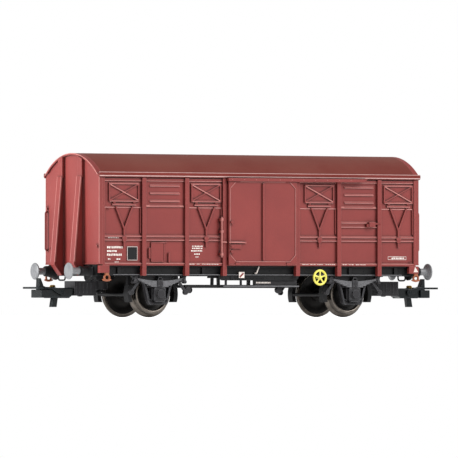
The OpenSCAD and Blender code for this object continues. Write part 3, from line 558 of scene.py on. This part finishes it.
def doorTrim():
    y = door["face"]
    # bottom rail, its guide shoes and the stud rows of both stiles
    parts = [block((-11.3, y - 0.12, 15.0), (11.3, y + 0.05, 15.25), 0.05)]
    for x in (-8.6, 8.6):
        parts.append(block((x - 0.8, y - 0.28, 14.95), (x + 0.8, y + 0.05, 15.7), 0.07))
    parts.append(rivets([(x, y, z) for x in (-11.2, 11.2) for z in
                         (16.4, 19.6, 22.8, 26.0, 29.2, 32.4, 35.6, 38.2)], "y", -1, 0.12))
    # lever lock: pivot plate and boss
    parts.append(block((-11.1, y - 0.32, 19.65), (-7.5, y + 0.05, 20.95), 0.08))
    parts.append(lathe([(0, -0.48), (0.35, -0.46), (0.45, -0.36), (0.45, 0.0), (0, 0.0)],
                       (-10.5, y - 0.1, 20.3), "y", 14))
    # the two handles beside the latch: a boss and a short grip
    for z in (18.9, 27.3):
        parts.append(lathe([(0, -0.59), (0.3, -0.57), (0.42, -0.45), (0.42, 0.05), (0, 0.05)],
                           (-10.7, y, z), "y", 14))
        parts.append(tube([(-10.7, y - 0.4, z), (-10.55, y - 0.42, z - 0.5), (-10.35, y - 0.4, z - 0.95)],
                          [0.18, 0.16, 0.12], 8))
    # runners in the hood
    for x in (-8.5, 8.5):
        parts.append(block((x - 0.9, y - 0.12, 38.75), (x + 0.9, y + 0.05, 39.6), 0.06))
    return join(parts)


# Painted highlights on a door: the bead round its panel and the lever, in the paler paint.
def doorRidges():
    y = door["face"]
    return join([outlineBars(door["bead"], 0.16, y - 0.07, y + 0.05),
                 tube([(-11.5, y - 0.36, 21.55), (-9.0, y - 0.37, 21.55), (-6.6, y - 0.37, 21.5),
                       (-5.9, y - 0.33, 21.3)], [0.2, 0.22, 0.2, 0.14], 8)])


for name, flip in (("left", 1), ("right", -1)):
    piece("doorTrim_" + name, sided(doorTrim(), flip), "sliding_door_" + name, satinRedPaint)
    piece("doorRidges_" + name, sided(doorRidges(), flip), "sliding_door_" + name,
          paintedHighlightRed)


latch = dict(x=-13.6, y=-16.35, foot=17.3, top=28.7, brackets=(18.1, 24.6, 28.0))


# Studs along the door's rail, then the latch: an upright rod in three brackets, with a short
# crank.
def latchTrim():
    x, y = latch["x"], latch["y"]
    parts = [rivets([(sx, -17.15, 39.55) for sx in np.arange(-10.5, 33.5, 4.0)], "y", -1, 0.14)]
    parts.append(tube([(x, y, latch["foot"]), (x, y, 20.0), (x, y, latch["top"])], 0.24, 10))
    collar = [(0, -0.42), (0.4, -0.4), (0.46, -0.3), (0.46, 0.3), (0.4, 0.4), (0, 0.4)]
    parts += [lathe(collar, (x, y, z), "z", 14) for z in latch["brackets"]]
    parts.append(tube([(x, y - 0.05, 21.6), (x + 0.7, y - 0.35, 21.6), (x + 1.4, y - 0.25, 21.55)],
                      0.18, 8))
    return join(parts)


# the latch and the rail studs are drawn in the paler red of a painted highlight
for name, flip in (("left", 1), ("right", -1)):
    piece("latchTrim_" + name, sided(latchTrim(), flip), "wagon", paintedHighlightRed)


# Ends: plane of the wall, the stanchions, and the roof's arc with the height of its centre.
ends = dict(face=-53.6, stanchionY=(-5.6, 5.6), flange=1.2, roofR=21.8, roofC=25.2, halfW=15.5)


def endTrim():
    x = ends["face"]
    parts = []
    for y in ends["stanchionY"]:
        studs = [(x - 0.3, y + dy, z) for dy in (-1.0, 1.0) for z in np.arange(17.5, 40, 3.4)]
        parts.append(rivets(studs, "x", -1, 0.12))
        parts.append(block((x - 0.95, y - 1.3, 40.1), (x + 0.02, y + 1.3, 40.5), 0.08))
    # lamp irons and a label clip
    for y, z in ((14.3, 31.4), (-14.6, 20.4), (11.8, 19.3)):
        parts.append(block((x - 0.5, y - 0.3, z - 0.5), (x + 0.02, y + 0.3, z + 0.15), 0.06))
        parts.append(tube([(x - 0.35, y, z), (x - 0.5, y, z + 0.35), (x - 0.5, y, z + 0.8)], 0.12, 6))
    # base angle over the headstock
    parts.append(block((x - 0.18, -15.5, 15.1), (x + 0.02, 15.5, 15.45), 0.05))
    return join(parts)


# Painted highlights on the edges of an end: the flange edges of both stanchions, the front of
# the arch's rim, and a bead down each corner. The rim's bead follows y = R sin t, z = centre + R cos t.
def endEdges():
    x = ends["face"]
    parts = []
    for y in ends["stanchionY"]:
        for s in (-1, 1):
            inner, outer = sorted((y + s * (ends["flange"] - 0.2), y + s * (ends["flange"] + 0.02)))
            parts.append(strut((x - 1.0, 40.2), (x - 3.2, 15.9), 0.44, inner, outer, 0.04))
    reach = math.asin(ends["halfW"] / ends["roofR"]) - 0.015
    t = np.linspace(-reach, reach, 61)
    r = ends["roofR"] - 0.12
    arc = np.stack([np.full(61, x - 0.5), r * np.sin(t), ends["roofC"] + r * np.cos(t)], 1)
    parts.append(tube(arc, 0.13, 8, side=(1, 0, 0)))
    for y in (-ends["halfW"] + 0.1, ends["halfW"] - 0.1):
        parts.append(block((x - 0.1, y - 0.12, 15.2), (x + 0.06, y + 0.12, 40.0), 0.04))
    return join(parts)


for name, flip in ((front, 1), (rear, -1)):
    piece("endTrim_" + name, sided(endTrim(), flip), "wagon", satinRedPaint)
    piece("endEdges_" + name, sided(endEdges(), flip), "wagon", paintedHighlightRed)


grab = dict(y=14.2, low=19.2, high=30.4, out=0.85, bend=0.5, r=0.26)


# Grab rail: a rod with bent ends, carried along a path that leaves the wall and comes back.
def grabRail():
    g = grab
    x, y = ends["face"], g["y"]
    t = np.linspace(0, math.pi / 2, 6)
    low = np.stack([x - g["out"] * np.sin(t), np.full(6, y), g["low"] + g["bend"] * (1 - np.cos(t))], 1)
    high = low[::-1] * (1, 1, -1) + (0, 0, g["high"] + g["low"])
    path = np.concatenate([[(x + 0.1, y, g["low"])], low[1:], high[:-1], [(x + 0.1, y, g["high"])]])
    foot = [(0, -0.16), (0.5, -0.14), (0.55, -0.05), (0.55, 0.1), (0, 0.1)]
    return join([tube(path, g["r"], 10)] +
                [lathe(foot, (x, y, z), "x", 12) for z in (g["low"], g["high"])])


for name, flip in ((front, 1), (rear, -1)):
    piece("grabRail_" + name, sided(grabRail(), flip), "wagon", satinRedPaint,
          replaces=["grab_rail_" + name])


# Buffers: place of the axis, planes of base and tip, and the head's radius.
buffers = dict(y=10.05, z=13.2, base=-53.4, tip=-60.8, r=2.4)


def bufferHead(y, domed):
    tip, r = buffers["tip"], buffers["r"]
    t = np.linspace(0, 1, 9)[1:]
    crown = 0.35 if domed else 0.04
    face = [(0, tip)] + [(float(r * 0.965 * k), float(tip + crown * k ** 2)) for k in t]
    rim = [(r, tip + crown + 0.1), (r, tip + crown + 0.34), (r - 0.12, tip + crown + 0.46),
           (1.5, tip + crown + 0.78), (1.12, tip + crown + 1.15), (1.0, tip + crown + 1.4),
           (1.0, -56.4), (0, -56.4)]
    return lathe(face + rim, (0, y, buffers["z"]), "x", 56)


def bufferHousing(y, flared):
    b = buffers["base"]
    grow = 0.75 if flared else 0.0
    z, mouth = buffers["z"], -57.2
    profile = [(0, mouth), (0.95, mouth), (1.05, -57.1), (1.36, -57.1), (1.42, -57.0), (1.42, -56.5),
               (1.3, -56.4), (1.3, -55.6), (1.38, -55.5), (1.38, -55.2), (1.3, -55.1), (1.34, -54.6),
               (1.5, -54.2), (1.75, -53.9), (1.75, b), (0, b)]
    # a flared housing grows evenly in radius from its mouth to its base
    profile = [(r + (grow * (h - mouth) / (b - mouth) if r > 1 else 0), h) for r, h in profile]
    bolts = [(b - 0.42, y + dy, z + dz) for dy in (-1.6, 1.6) for dz in (-0.95, 0.95)]
    return join([lathe(profile, (0, y, z), "x", 40),
                 block((b - 0.42, y - 1.95, z - 1.27), (b, y + 1.95, z + 1.27), 0.1),
                 rivets(bolts, "x", -1, 0.22)])


for end, flip in ((front, 1), (rear, -1)):
    for hand in ("left", "right"):
        # each end's left-hand buffer, seen from outside, is flat; the front's left is at -Y
        y = (-1 if hand == "left" else 1) * buffers["y"] * flip
        domed = (hand == "right") == (flip == 1)
        piece(f"bufferHead_{end}_{hand}", sided(bufferHead(y, domed), flip), "wagon",
              greyEnamel, replaces=[f"buffer_{end}_{hand}"])
        piece(f"bufferHousing_{end}_{hand}", sided(bufferHousing(y, domed), flip), "wagon",
              blackMoulding)


# Wheels: place of the axle, radii of tread and flange, and the rim's inner and outer plane.
wheel = dict(x=32.75, z=6.75, tread=5.75, flange=6.75, inner=7.2, outer=10.0)


# Tyre: flange, root fillet and coned tread, a closed ring turned about the axle.
def tyre(sideSign):
    w = wheel
    y0, y1, t, f = w["inner"], w["outer"], w["tread"], w["flange"]
    ring = [(f - 0.95, y0), (f - 0.22, y0 + 0.02), (f - 0.04, y0 + 0.14), (f, y0 + 0.32),
            (f - 0.04, y0 + 0.5), (f - 0.3, y0 + 0.68), (t + 0.22, y0 + 0.86), (t + 0.06, y0 + 1.0),
            (t, y0 + 1.2), (t - 0.07, y1 - 0.2), (t - 0.16, y1 - 0.04), (t - 0.3, y1), (t - 0.8, y1),
            (t - 0.92, y1 - 0.06), (t - 0.98, y1 - 0.2), (t - 1.1, y1 - 0.85)]
    return latheRing([(r, h * sideSign) for r, h in ring], (0, 0, w["z"]), "y", 96)


# Disc: a dished web between the tyre and the hub, hollow for the axle.
def disc(sideSign):
    w = wheel
    y0, y1 = w["inner"], w["outer"]
    ring = [(1.0, y0 - 0.4), (1.75, y0 - 0.4), (1.9, y0 - 0.28), (2.0, y0 + 0.3), (3.2, y0 + 0.75),
            (4.2, y0 + 0.62), (5.2, y0 + 0.1), (5.75, y0 + 0.06), (5.6, y1 - 1.2), (4.62, y1 - 0.95),
            (4.0, y1 - 1.25), (3.0, y1 - 1.3), (2.2, y1 - 0.95), (1.9, y1 - 0.5), (1.75, y1 - 0.05),
            (1.6, y1), (1.0, y1)]
    return latheRing([(r, h * sideSign) for r, h in ring], (0, 0, w["z"]), "y", 72)


for end, x in ((front, -wheel["x"]), (rear, wheel["x"])):
    for hand, s in (("left", -1), ("right", 1)):
        shift = np.array([x, 0, 0])
        p, f = tyre(s)
        piece(f"tyre_{end}_{hand}", [(p + shift, f)], "wheelset_" + end, brightSteel,
              replaces=[f"wheel_{end}_{hand}"], smooth=50)
        p, f = disc(s)
        piece(f"disc_{end}_{hand}", [(p + shift, f)], "wheelset_" + end, blackenedSteel,
              smooth=50)


# Axle guards: the plate's plane, the spring's two faces and the axle box's front, then the top
# leaf's height, the leaves' pitch and bend, and their half lengths from the longest down.
guard = dict(face=-12.7, springY=(-14.0, -12.6), boxFace=-14.0,
             leafTop=10.42, leafPitch=0.3, bend=0.0152, leaves=(8.1, 7.2, 6.1, 5.0, 3.9, 2.8))


# One spring leaf: its upper line is z = top + bend x^2, its lower line a thickness below,
# and the closed outline is carried across the wagon.
def leaf(top, half, thick=0.29):
    x = np.linspace(-half, half, 25)
    upper = np.stack([x, top + guard["bend"] * x ** 2], 1)
    lower = (upper - (0, thick))[::-1]
    return prism(np.concatenate([upper, lower]), "y", *guard["springY"], 0.05)


def springLeaves():
    g = guard
    return join([leaf(g["leafTop"] - g["leafPitch"] * k, half) for k, half in enumerate(g["leaves"])])


# A pin or boss across the guard: its head's two radii and planes, down to the guard's back.
def pin(x, z, r, head, tip, n):
    back = guard["springY"][1]
    outline = [(0, tip), (r[0], tip + 0.05), (r[1], head), (r[1], back), (0, back)]
    return lathe(outline, (x, 0, z), "y", n)


def guardTrim():
    y = guard["face"]
    # buckle round the leaves, with its bolt heads
    parts = [block((-0.95, -14.25, 8.55), (0.95, y + 0.05, 10.75), 0.12)]
    parts.append(rivets([(dx, -14.25, z) for dx in (-0.5, 0.5) for z in (9.0, 10.3)], "y", -1, 0.18))
    parts.append(block((-0.55, -14.1, 10.7), (0.55, y, 11.7), 0.1))
    # raised rims on the guard's legs
    for s in (-1, 1):
        legs = [(s * 5.2, 11.7), (s * 4.25, 9.1), (s * 2.95, 4.2), (s * 2.4, 3.75)]
        for a, b in zip(legs[:-1], legs[1:]):
            parts.append(strut(a, b, 0.42, y - 0.22, y + 0.05, 0.06))
        inner = [(s * 3.9, 8.7), (s * 3.05, 5.3), (s * 2.0, 4.9)]
        for a, b in zip(inner[:-1], inner[1:]):
            parts.append(strut(a, b, 0.26, y - 0.18, y + 0.05, 0.05))
        parts.append(strut((s * 2.0, 4.9), (s * 2.0, 8.6), 0.3, y - 0.22, y + 0.05, 0.05))
        studs = [(s * x, y - 0.05, z) for x, z in ((4.7, 11.0), (4.4, 10.0), (2.6, 4.5))]
        parts.append(rivets(studs, "y", -1, 0.2))
        # shackle: two pins, a pair of links and the bracket that they hang from
        upper, lower = (s * 8.0, 11.35), (s * 8.35, 10.15)
        parts.append(pin(*upper, (0.5, 0.6), -14.0, -14.2, 16))
        parts.append(pin(*lower, (0.42, 0.5), -14.0, -14.2, 16))
        for linkY in (-14.1, -12.95):
            parts.append(strut(upper, lower, 0.75, linkY, linkY + 0.3, 0.05))
        bracket = [(s * 7.1, 11.9), (s * 9.0, 11.9), (s * 8.6, 10.9), (s * 7.4, 10.9)]
        parts.append(prism(bracket, "y", -13.75, -12.8, 0.08))
        # link and round eye of the brake hanger, outside the guard
        parts.append(strut((s * 6.3, 10.7), (s * 8.9, 7.35), 0.8, -13.3, -12.75, 0.08))
        parts.append(pin(s * 8.95, 7.2, (0.62, 0.78), -13.35, -13.6, 18))
        parts.append(rivets([(s * 7.0, -13.3, 9.8), (s * 8.0, -13.3, 8.5)], "y", -1, 0.2))
    parts.append(strut((-3.0, 4.0), (3.0, 4.0), 0.5, y - 0.25, y + 0.05, 0.08))
    # axle box: body, lid with a raised ring, and its four bolts
    b = guard["boxFace"]
    box = [(-1.95, 5.2), (-1.6, 4.75), (1.6, 4.75), (1.95, 5.2), (1.95, 8.2), (1.55, 8.65),
           (-1.55, 8.65), (-1.95, 8.2)]
    parts.append(prism(box, "y", b - 0.06, y, 0.16))
    lid = [(0, b - 0.62), (0.62, b - 0.6), (0.8, b - 0.5), (0.86, b - 0.3), (1.1, b - 0.26),
           (1.22, b - 0.16), (1.22, b + 0.1), (0, b + 0.1)]
    parts.append(lathe(lid, (0, 0, wheel["z"]), "y", 32))
    bolts = [(dx, b - 0.06, z) for dx in (-1.45, 1.45) for z in (5.35, 8.1)]
    parts.append(rivets(bolts, "y", -1, 0.22))
    parts.append(block((-1.5, b - 0.3, 4.35), (1.5, y, 4.8), 0.1))
    return join(parts)


# the spring leaves are drawn in the mid grey of a painted highlight
for end, sx in ((front, 1), (rear, -1)):
    for hand, sy in (("left", 1), ("right", -1)):
        for label, part, material in (("springGear", guardTrim(), greyMoulding),
                                      ("springLeaves", springLeaves(), paintedHighlightGrey)):
            p, f = part
            p = p + np.array([-wheel["x"], 0, 0])
            piece(f"{label}_{end}_{hand}", [turned((p, f), sx, sy)], "wagon", material)


# Brake handwheel: its centre, the rim's two radii and the number of spokes.
handwheel = dict(x=19.2, y=-16.7, z=11.5, rim=2.02, rimR=0.33, spokes=5)


# Rim: a small circle turned about the shaft. Spokes: one tapered outline, turned to each place.
def brakeHandwheel():
    h = handwheel
    t = np.arange(14) * 2 * math.pi / 14
    rim = np.stack([h["rim"] + h["rimR"] * np.cos(t), h["rimR"] * 0.85 * np.sin(t)], 1)
    centre = (h["x"], h["y"], h["z"])
    hub = [(0, -0.5), (0.24, -0.48), (0.32, -0.36), (0.5, -0.3), (0.58, -0.2), (0.58, 0.2),
           (0.5, 0.3), (0.36, 0.34), (0.36, 3.0), (0, 3.0)]
    parts = [latheRing(rim.tolist(), centre, "y", 60), lathe(hub, centre, "y", 28)]
    for k in range(h["spokes"]):
        a = math.pi / 2 + k * 2 * math.pi / h["spokes"]
        along, across = np.array([math.cos(a), math.sin(a)]), np.array([-math.sin(a), math.cos(a)])
        c = np.array([h["x"], h["z"]])
        shape = [(0.35, -0.26), (1.1, -0.2), (1.95, -0.3), (1.95, 0.3), (1.1, 0.2), (0.35, 0.26)]
        outline = [c + along * u + across * v for u, v in shape]
        parts.append(prism(outline, "y", h["y"] - 0.18, h["y"] + 0.18, 0.06))
    return join(parts)


for name, flip in (("left", 1), ("right", -1)):
    piece("handwheel_" + name, sided(brakeHandwheel(), flip), "wagon", yellowStyrene,
          replaces=["brake_wheel_" + name])


def handwheelBracket():
    x, z = handwheel["x"], handwheel["z"]
    bush = [(0, -15.0), (0.55, -14.95), (0.62, -14.8), (0.62, -13.8), (0, -13.8)]
    return join([block((x - 0.6, -14.5, z - 0.7), (x + 0.6, -13.7, 11.9), 0.08),
                 lathe(bush, (x, 0, z), "y", 18)])


for name, flip in (("left", 1), ("right", -1)):
    piece("handwheelBracket_" + name, sided(handwheelBracket(), flip), "wagon",
          blackMoulding)


# Studs and brackets along the solebar, in its own black. Only the left one is deep.
def solebarTrim(deep):
    # a stud every 4 mm, but none behind a post
    xs = [x for x in np.arange(-48, 49, 4.0) if min(abs(abs(x) - p) for p in side["posts"]) > 1.4]
    parts = [rivets([(x, -13.7, 13.3) for x in xs], "y", -1, 0.2)]
    for x in (-46.5, -18.5, 31.0, 46.5):
        parts.append(block((x - 0.5, -14.35, 12.3), (x + 0.5, -13.7, 14.4), 0.08))
    if deep:
        parts.append(rivets([(x, -14.3, 11.3) for x in np.arange(-11, 12, 2.75)], "y", -1, 0.18))
        parts.append(rivets([(x, -13.7, 9.6) for x in (5.2, 9.0, 12.6)], "y", -1, 0.16))
        # changeover box and its rod, by the lever
        parts.append(block((-9.6, -14.55, 10.9), (-8.5, -14.2, 11.8), 0.08))
        parts.append(tube([(-8.6, -14.5, 11.3), (-4.0, -14.55, 11.35), (2.0, -14.5, 11.3)], 0.14, 6))
    return join(parts)


# Painted highlights on outer edges: the solebar's lower flange and the footboard.
def underEdges():
    return join([block((-48.5, -14.57, 12.1), (48.5, -14.45, 12.32), 0.03),
                 block((-12.0, -14.57, 8.8), (13.4, -14.45, 9.08), 0.03)])


# Red band across the two-tone plate by the brake lever.
def plateBand():
    return strut((-6.6, 11.6), (-5.4, 12.7), 0.5, -14.79, -14.73, 0.01)


for name, flip in (("left", 1), ("right", -1)):
    piece("solebarTrim_" + name, sided(solebarTrim(flip == 1), flip), "wagon", blackMoulding)
    piece("underEdges_" + name, sided(underEdges(), flip), "wagon", paintedHighlightGrey)
    piece("plateBand_" + name, sided(plateBand(), flip), "wagon", satinRedPaint)


# Knuckles at both ends of a pull rod: a boss turned about y under a short hanger plate.
def rodKnuckles():
    y, z = -12.0, 7.9
    boss = [(0, -0.7), (0.8, -0.66), (0.95, -0.5), (0.95, 0.5), (0.8, 0.66), (0, 0.7)]
    parts = []
    for x in (-22.6, 7.9):
        parts.append(lathe(boss, (x, y, z), "y", 20))
        parts.append(block((x - 0.5, y - 0.35, z), (x + 0.5, y + 0.35, z + 1.2), 0.08))
    return join(parts)


piece("rodKnuckles", [turned(rodKnuckles(), f, f) for f in (1, -1)], "wagon", greyMoulding)


# Rope eye: a ring turned about y, in a stirrup whose bar is carried along a curved path.
def ropeEye(x):
    c = (x, -15.15, 11.35)
    t = np.arange(12) * 2 * math.pi / 12
    ring = np.stack([0.82 + 0.3 * np.cos(t), 0.34 * np.sin(t)], 1)
    parts = [latheRing(ring.tolist(), c, "y", 28)]
    u = np.linspace(-1, 1, 15)
    bar = np.stack([x + 1.3 * u, np.full(15, -15.1), 10.55 + 0.2 * u ** 2], 1)
    parts.append(tube(bar, 0.28 + 0.05 * np.cos(u * 3), 8, side=(0, 1, 0)))
    parts.append(prism([(x - 0.7, 12.95), (x + 0.7, 12.95), (x + 0.6, 12.0), (x - 0.6, 12.0)],
                       "y", -15.48, -14.75, 0.1))
    return join(parts)


piece("ropeEyes", [turned(ropeEye(x), f, f) for f in (1, -1) for x in (-51.0, 52.9)], "wagon",
      orangeAcetal, replaces=["rope_eyes"])


# Coil: a circle carried along a helix.
def coil(x, z, turns, r, wire):
    t = np.linspace(0, turns * 2 * math.pi, turns * 14)
    path = np.stack([x + r * np.cos(t), np.linspace(-0.9, 0.9, len(t)), z + r * np.sin(t)], 1)
    return tube(path, wire, 6, side=(0, 1, 0))


def couplerBody():
    parts = []
    # body with a rounded underside: its outline in XZ carried across, drawn in at the cheeks
    t = np.linspace(0, math.pi / 2, 7)
    heel = [(-54.6 - 1.6 * (1 - math.sin(a)), 5.7 + 1.6 * (1 - math.cos(a))) for a in t[::-1]]
    outline = [(-62.2, 5.7)] + heel[::-1] + [(-54.6, 8.2), (-55.0, 8.45), (-62.2, 8.45)]
    parts.append(prism(outline, "y", -2.4, 2.4, 0.25))
    nose = [(-62.1, 5.7), (-65.0, 5.7), (-65.1, 8.4), (-65.0, 11.2), (-64.5, 11.2), (-63.6, 9.0),
            (-62.1, 8.4)]
    parts.append(prism(nose, "y", -1.0, 1.0, 0.12))
    jaw = [(-65.5, -2.9), (-65.3, -3.1), (-62.3, -3.1), (-62.1, -2.4), (-64.7, -2.4), (-64.7, 2.4),
           (-62.1, 2.4), (-62.3, 3.1), (-65.3, 3.1), (-65.5, 2.9)]
    parts.append(prism(jaw, "z", 5.6, 7.9, 0.12))
    parts.append(block((-55.6, -1.65, 6.6), (-50.4, 1.65, 8.4), 0.1))
    for y in (-2.0, 2.0):
        parts.append(block((-61.8, y - 0.3, 5.5), (-55.8, y + 0.3, 5.9), 0.1))
    crossPin = (-58.6, 0, 7.2)
    parts.append(lathe([(0, -2.48), (0.3, -2.46), (0.4, -2.4), (0.4, 2.4), (0.3, 2.46), (0, 2.48)],
                       crossPin, "y", 18))
    parts.append(lathe([(0, -3.15), (0.34, -3.12), (0.4, -3.05), (0.4, 3.05), (0.34, 3.12), (0, 3.15)],
                       crossPin, "y", 18))
    stem = [(-60.9, 2.95), (-59.2, 2.95), (-58.75, 5.9), (-60.4, 5.9)]
    parts.append(prism(stem, "y", -0.85, 0.85, 0.16))
    return join(parts)


def armScrew():
    head = [(0, 5.95), (0.55, 5.98), (0.75, 6.1), (0.8, 6.25), (0, 6.25)]
    ribs = [block((x, -3.0, 6.9), (x + 0.35, 3.0, 9.9), 0.08)
            for x in (-54.2, -53.0, -51.8, -50.6, -49.4)]
    return join([lathe(head, (-51.2, 0, 0), "z", 20)] + ribs)


for end, flip in ((front, 1), (rear, -1)):
    piece("couplerHead_" + end, sided(couplerBody(), flip), "coupler_" + end, glossBlackAcetal,
          replaces=["coupler_head_" + end])
    piece("housingRibs_" + end, sided(armScrew(), flip), "coupler_" + end, greyMoulding)
    piece("couplerSpring_" + end, sided(coil(-60.2, 8.75, 5, 0.42, 0.11), flip),
          "coupler_" + end, brassWire)


# Shunter's rails: a wire bent in a U, carried along a path with rounded corners.
def shunterRail():
    t = np.linspace(0, math.pi / 2, 5)
    bend = np.stack([0.9 * (1 - np.cos(t)), -0.9 * np.sin(t)], 1)
    left = [(-52.8, 5.6 + u, 11.65 + v - 0.1) for u, v in bend]
    right = [(-52.8, 9.6 - u, 11.65 + v - 0.1) for u, v in bend[::-1]]
    path = [(-52.8, 5.6, 12.3)] + left + right + [(-52.8, 9.6, 12.3)]
    return tube(np.array(path), 0.24, 8, side=(1, 0, 0))


piece("shunterRails", [turned(shunterRail(), sx, sy) for sx in (1, -1) for sy in (1, -1)], "wagon",
      blackMoulding, replaces=["shunter_rails"])
print("stage 4: pieces built")


# Camera, light and floor. Lengths are metres, but the two radii are millimetres.
studio = {
    "azimuth": 30.89, "distance": 2.193, "eyeHeight": 0.0025, "lens": 595.1,
    "aim": (-0.00107, 0.00064, 0.02556), "wagonCentre": (0, 0, 0.025),
    "keyPlace": (0.5, -0.85, 0.7), "keySide": 0.9, "keyPower": 14,
    "endPlace": (-0.9, 0.25, 0.2), "endSide": 0.4, "endPower": 12,
    "ambient": 0.5, "paper": "#F4F4F4", "tableGlow": 0.3, "floorMm": 900, "skyMm": 9000,
}


def aimed(name, data, place, target):
    obj = bpy.data.objects.new(name, data)
    bpy.context.scene.collection.objects.link(obj)
    obj.location = place
    obj.rotation_euler = (Vector(target) - Vector(place)).to_track_quat("-Z", "Y").to_euler()
    return obj


az = math.radians(studio["azimuth"])
eye = (-studio["distance"] * math.sin(az), -studio["distance"] * math.cos(az), studio["eyeHeight"])
lensData = bpy.data.cameras.new("camera")
lensData.lens = studio["lens"]
lensData.clip_start, lensData.clip_end = 0.05, 60
bpy.context.scene.camera = aimed("camera", lensData, eye, studio["aim"])
bpy.context.scene.view_settings.view_transform = "Standard"


def softbox(label):
    data = bpy.data.lights.new(label + "Light", "AREA")
    data.shape = "RECTANGLE"
    data.size = data.size_y = studio[label + "Side"]
    data.energy = studio[label + "Power"]
    return aimed(label + "Light", data, studio[label + "Place"], studio["wagonCentre"])


softbox("key")
softbox("end")
world = bpy.data.worlds.new("world")
bpy.context.scene.world = world
world.use_nodes = True
world.node_tree.nodes["Background"].inputs["Color"].default_value = linear("#FFFFFF")
world.node_tree.nodes["Background"].inputs["Strength"].default_value = studio["ambient"]


# Floor and backdrop: a profile turned about z, closed in poles.
def stagePiece(name, profile, material):
    points, faces = lathe(profile, (0, 0, 0), "z", 64)
    mesh = bpy.data.meshes.new(name)
    mesh.from_pydata((points * mm).tolist(), [], faces)
    mesh.shade_smooth()
    mesh.materials.append(material)
    obj = bpy.data.objects.new(name, mesh)
    bpy.context.scene.collection.objects.link(obj)
    return obj


# Matt white paper on a light table: it glows a little, so no grey band stands at its far edge.
paper = bpy.data.materials.new("studioPaper")
paper.use_nodes = True
paperShader = paper.node_tree.nodes["Principled BSDF"]
paperShader.inputs["Base Color"].default_value = linear(studio["paper"])
paperShader.inputs["Roughness"].default_value = 0.9
paperShader.inputs["Emission Color"].default_value = linear("#FFFFFF")
paperShader.inputs["Emission Strength"].default_value = studio["tableGlow"]
stagePiece("floor", [(0, 0), (studio["floorMm"] / 3, 0), (studio["floorMm"], 0)], paper)

# A white sky far outside: only the camera sees it, and the world lights the wagon.
glow = bpy.data.materials.new("backdropWhite")
glow.use_nodes = True
glow.node_tree.nodes.clear()
glowOut = add(glow.node_tree, "ShaderNodeOutputMaterial")
emit = add(glow.node_tree, "ShaderNodeEmission", Strength=1.0)
glow.node_tree.links.new(emit.outputs[0], glowOut.inputs[0])
arc = np.linspace(-math.pi / 2, math.pi / 2, 25)
vault = studio["skyMm"] * np.stack([np.cos(arc), np.sin(arc)], 1)
sky = stagePiece("backdrop", vault.tolist(), glow)
sky.visible_diffuse = sky.visible_glossy = sky.visible_transmission = False
sky.visible_volume_scatter = sky.visible_shadow = False
print("stage 5: studio set")
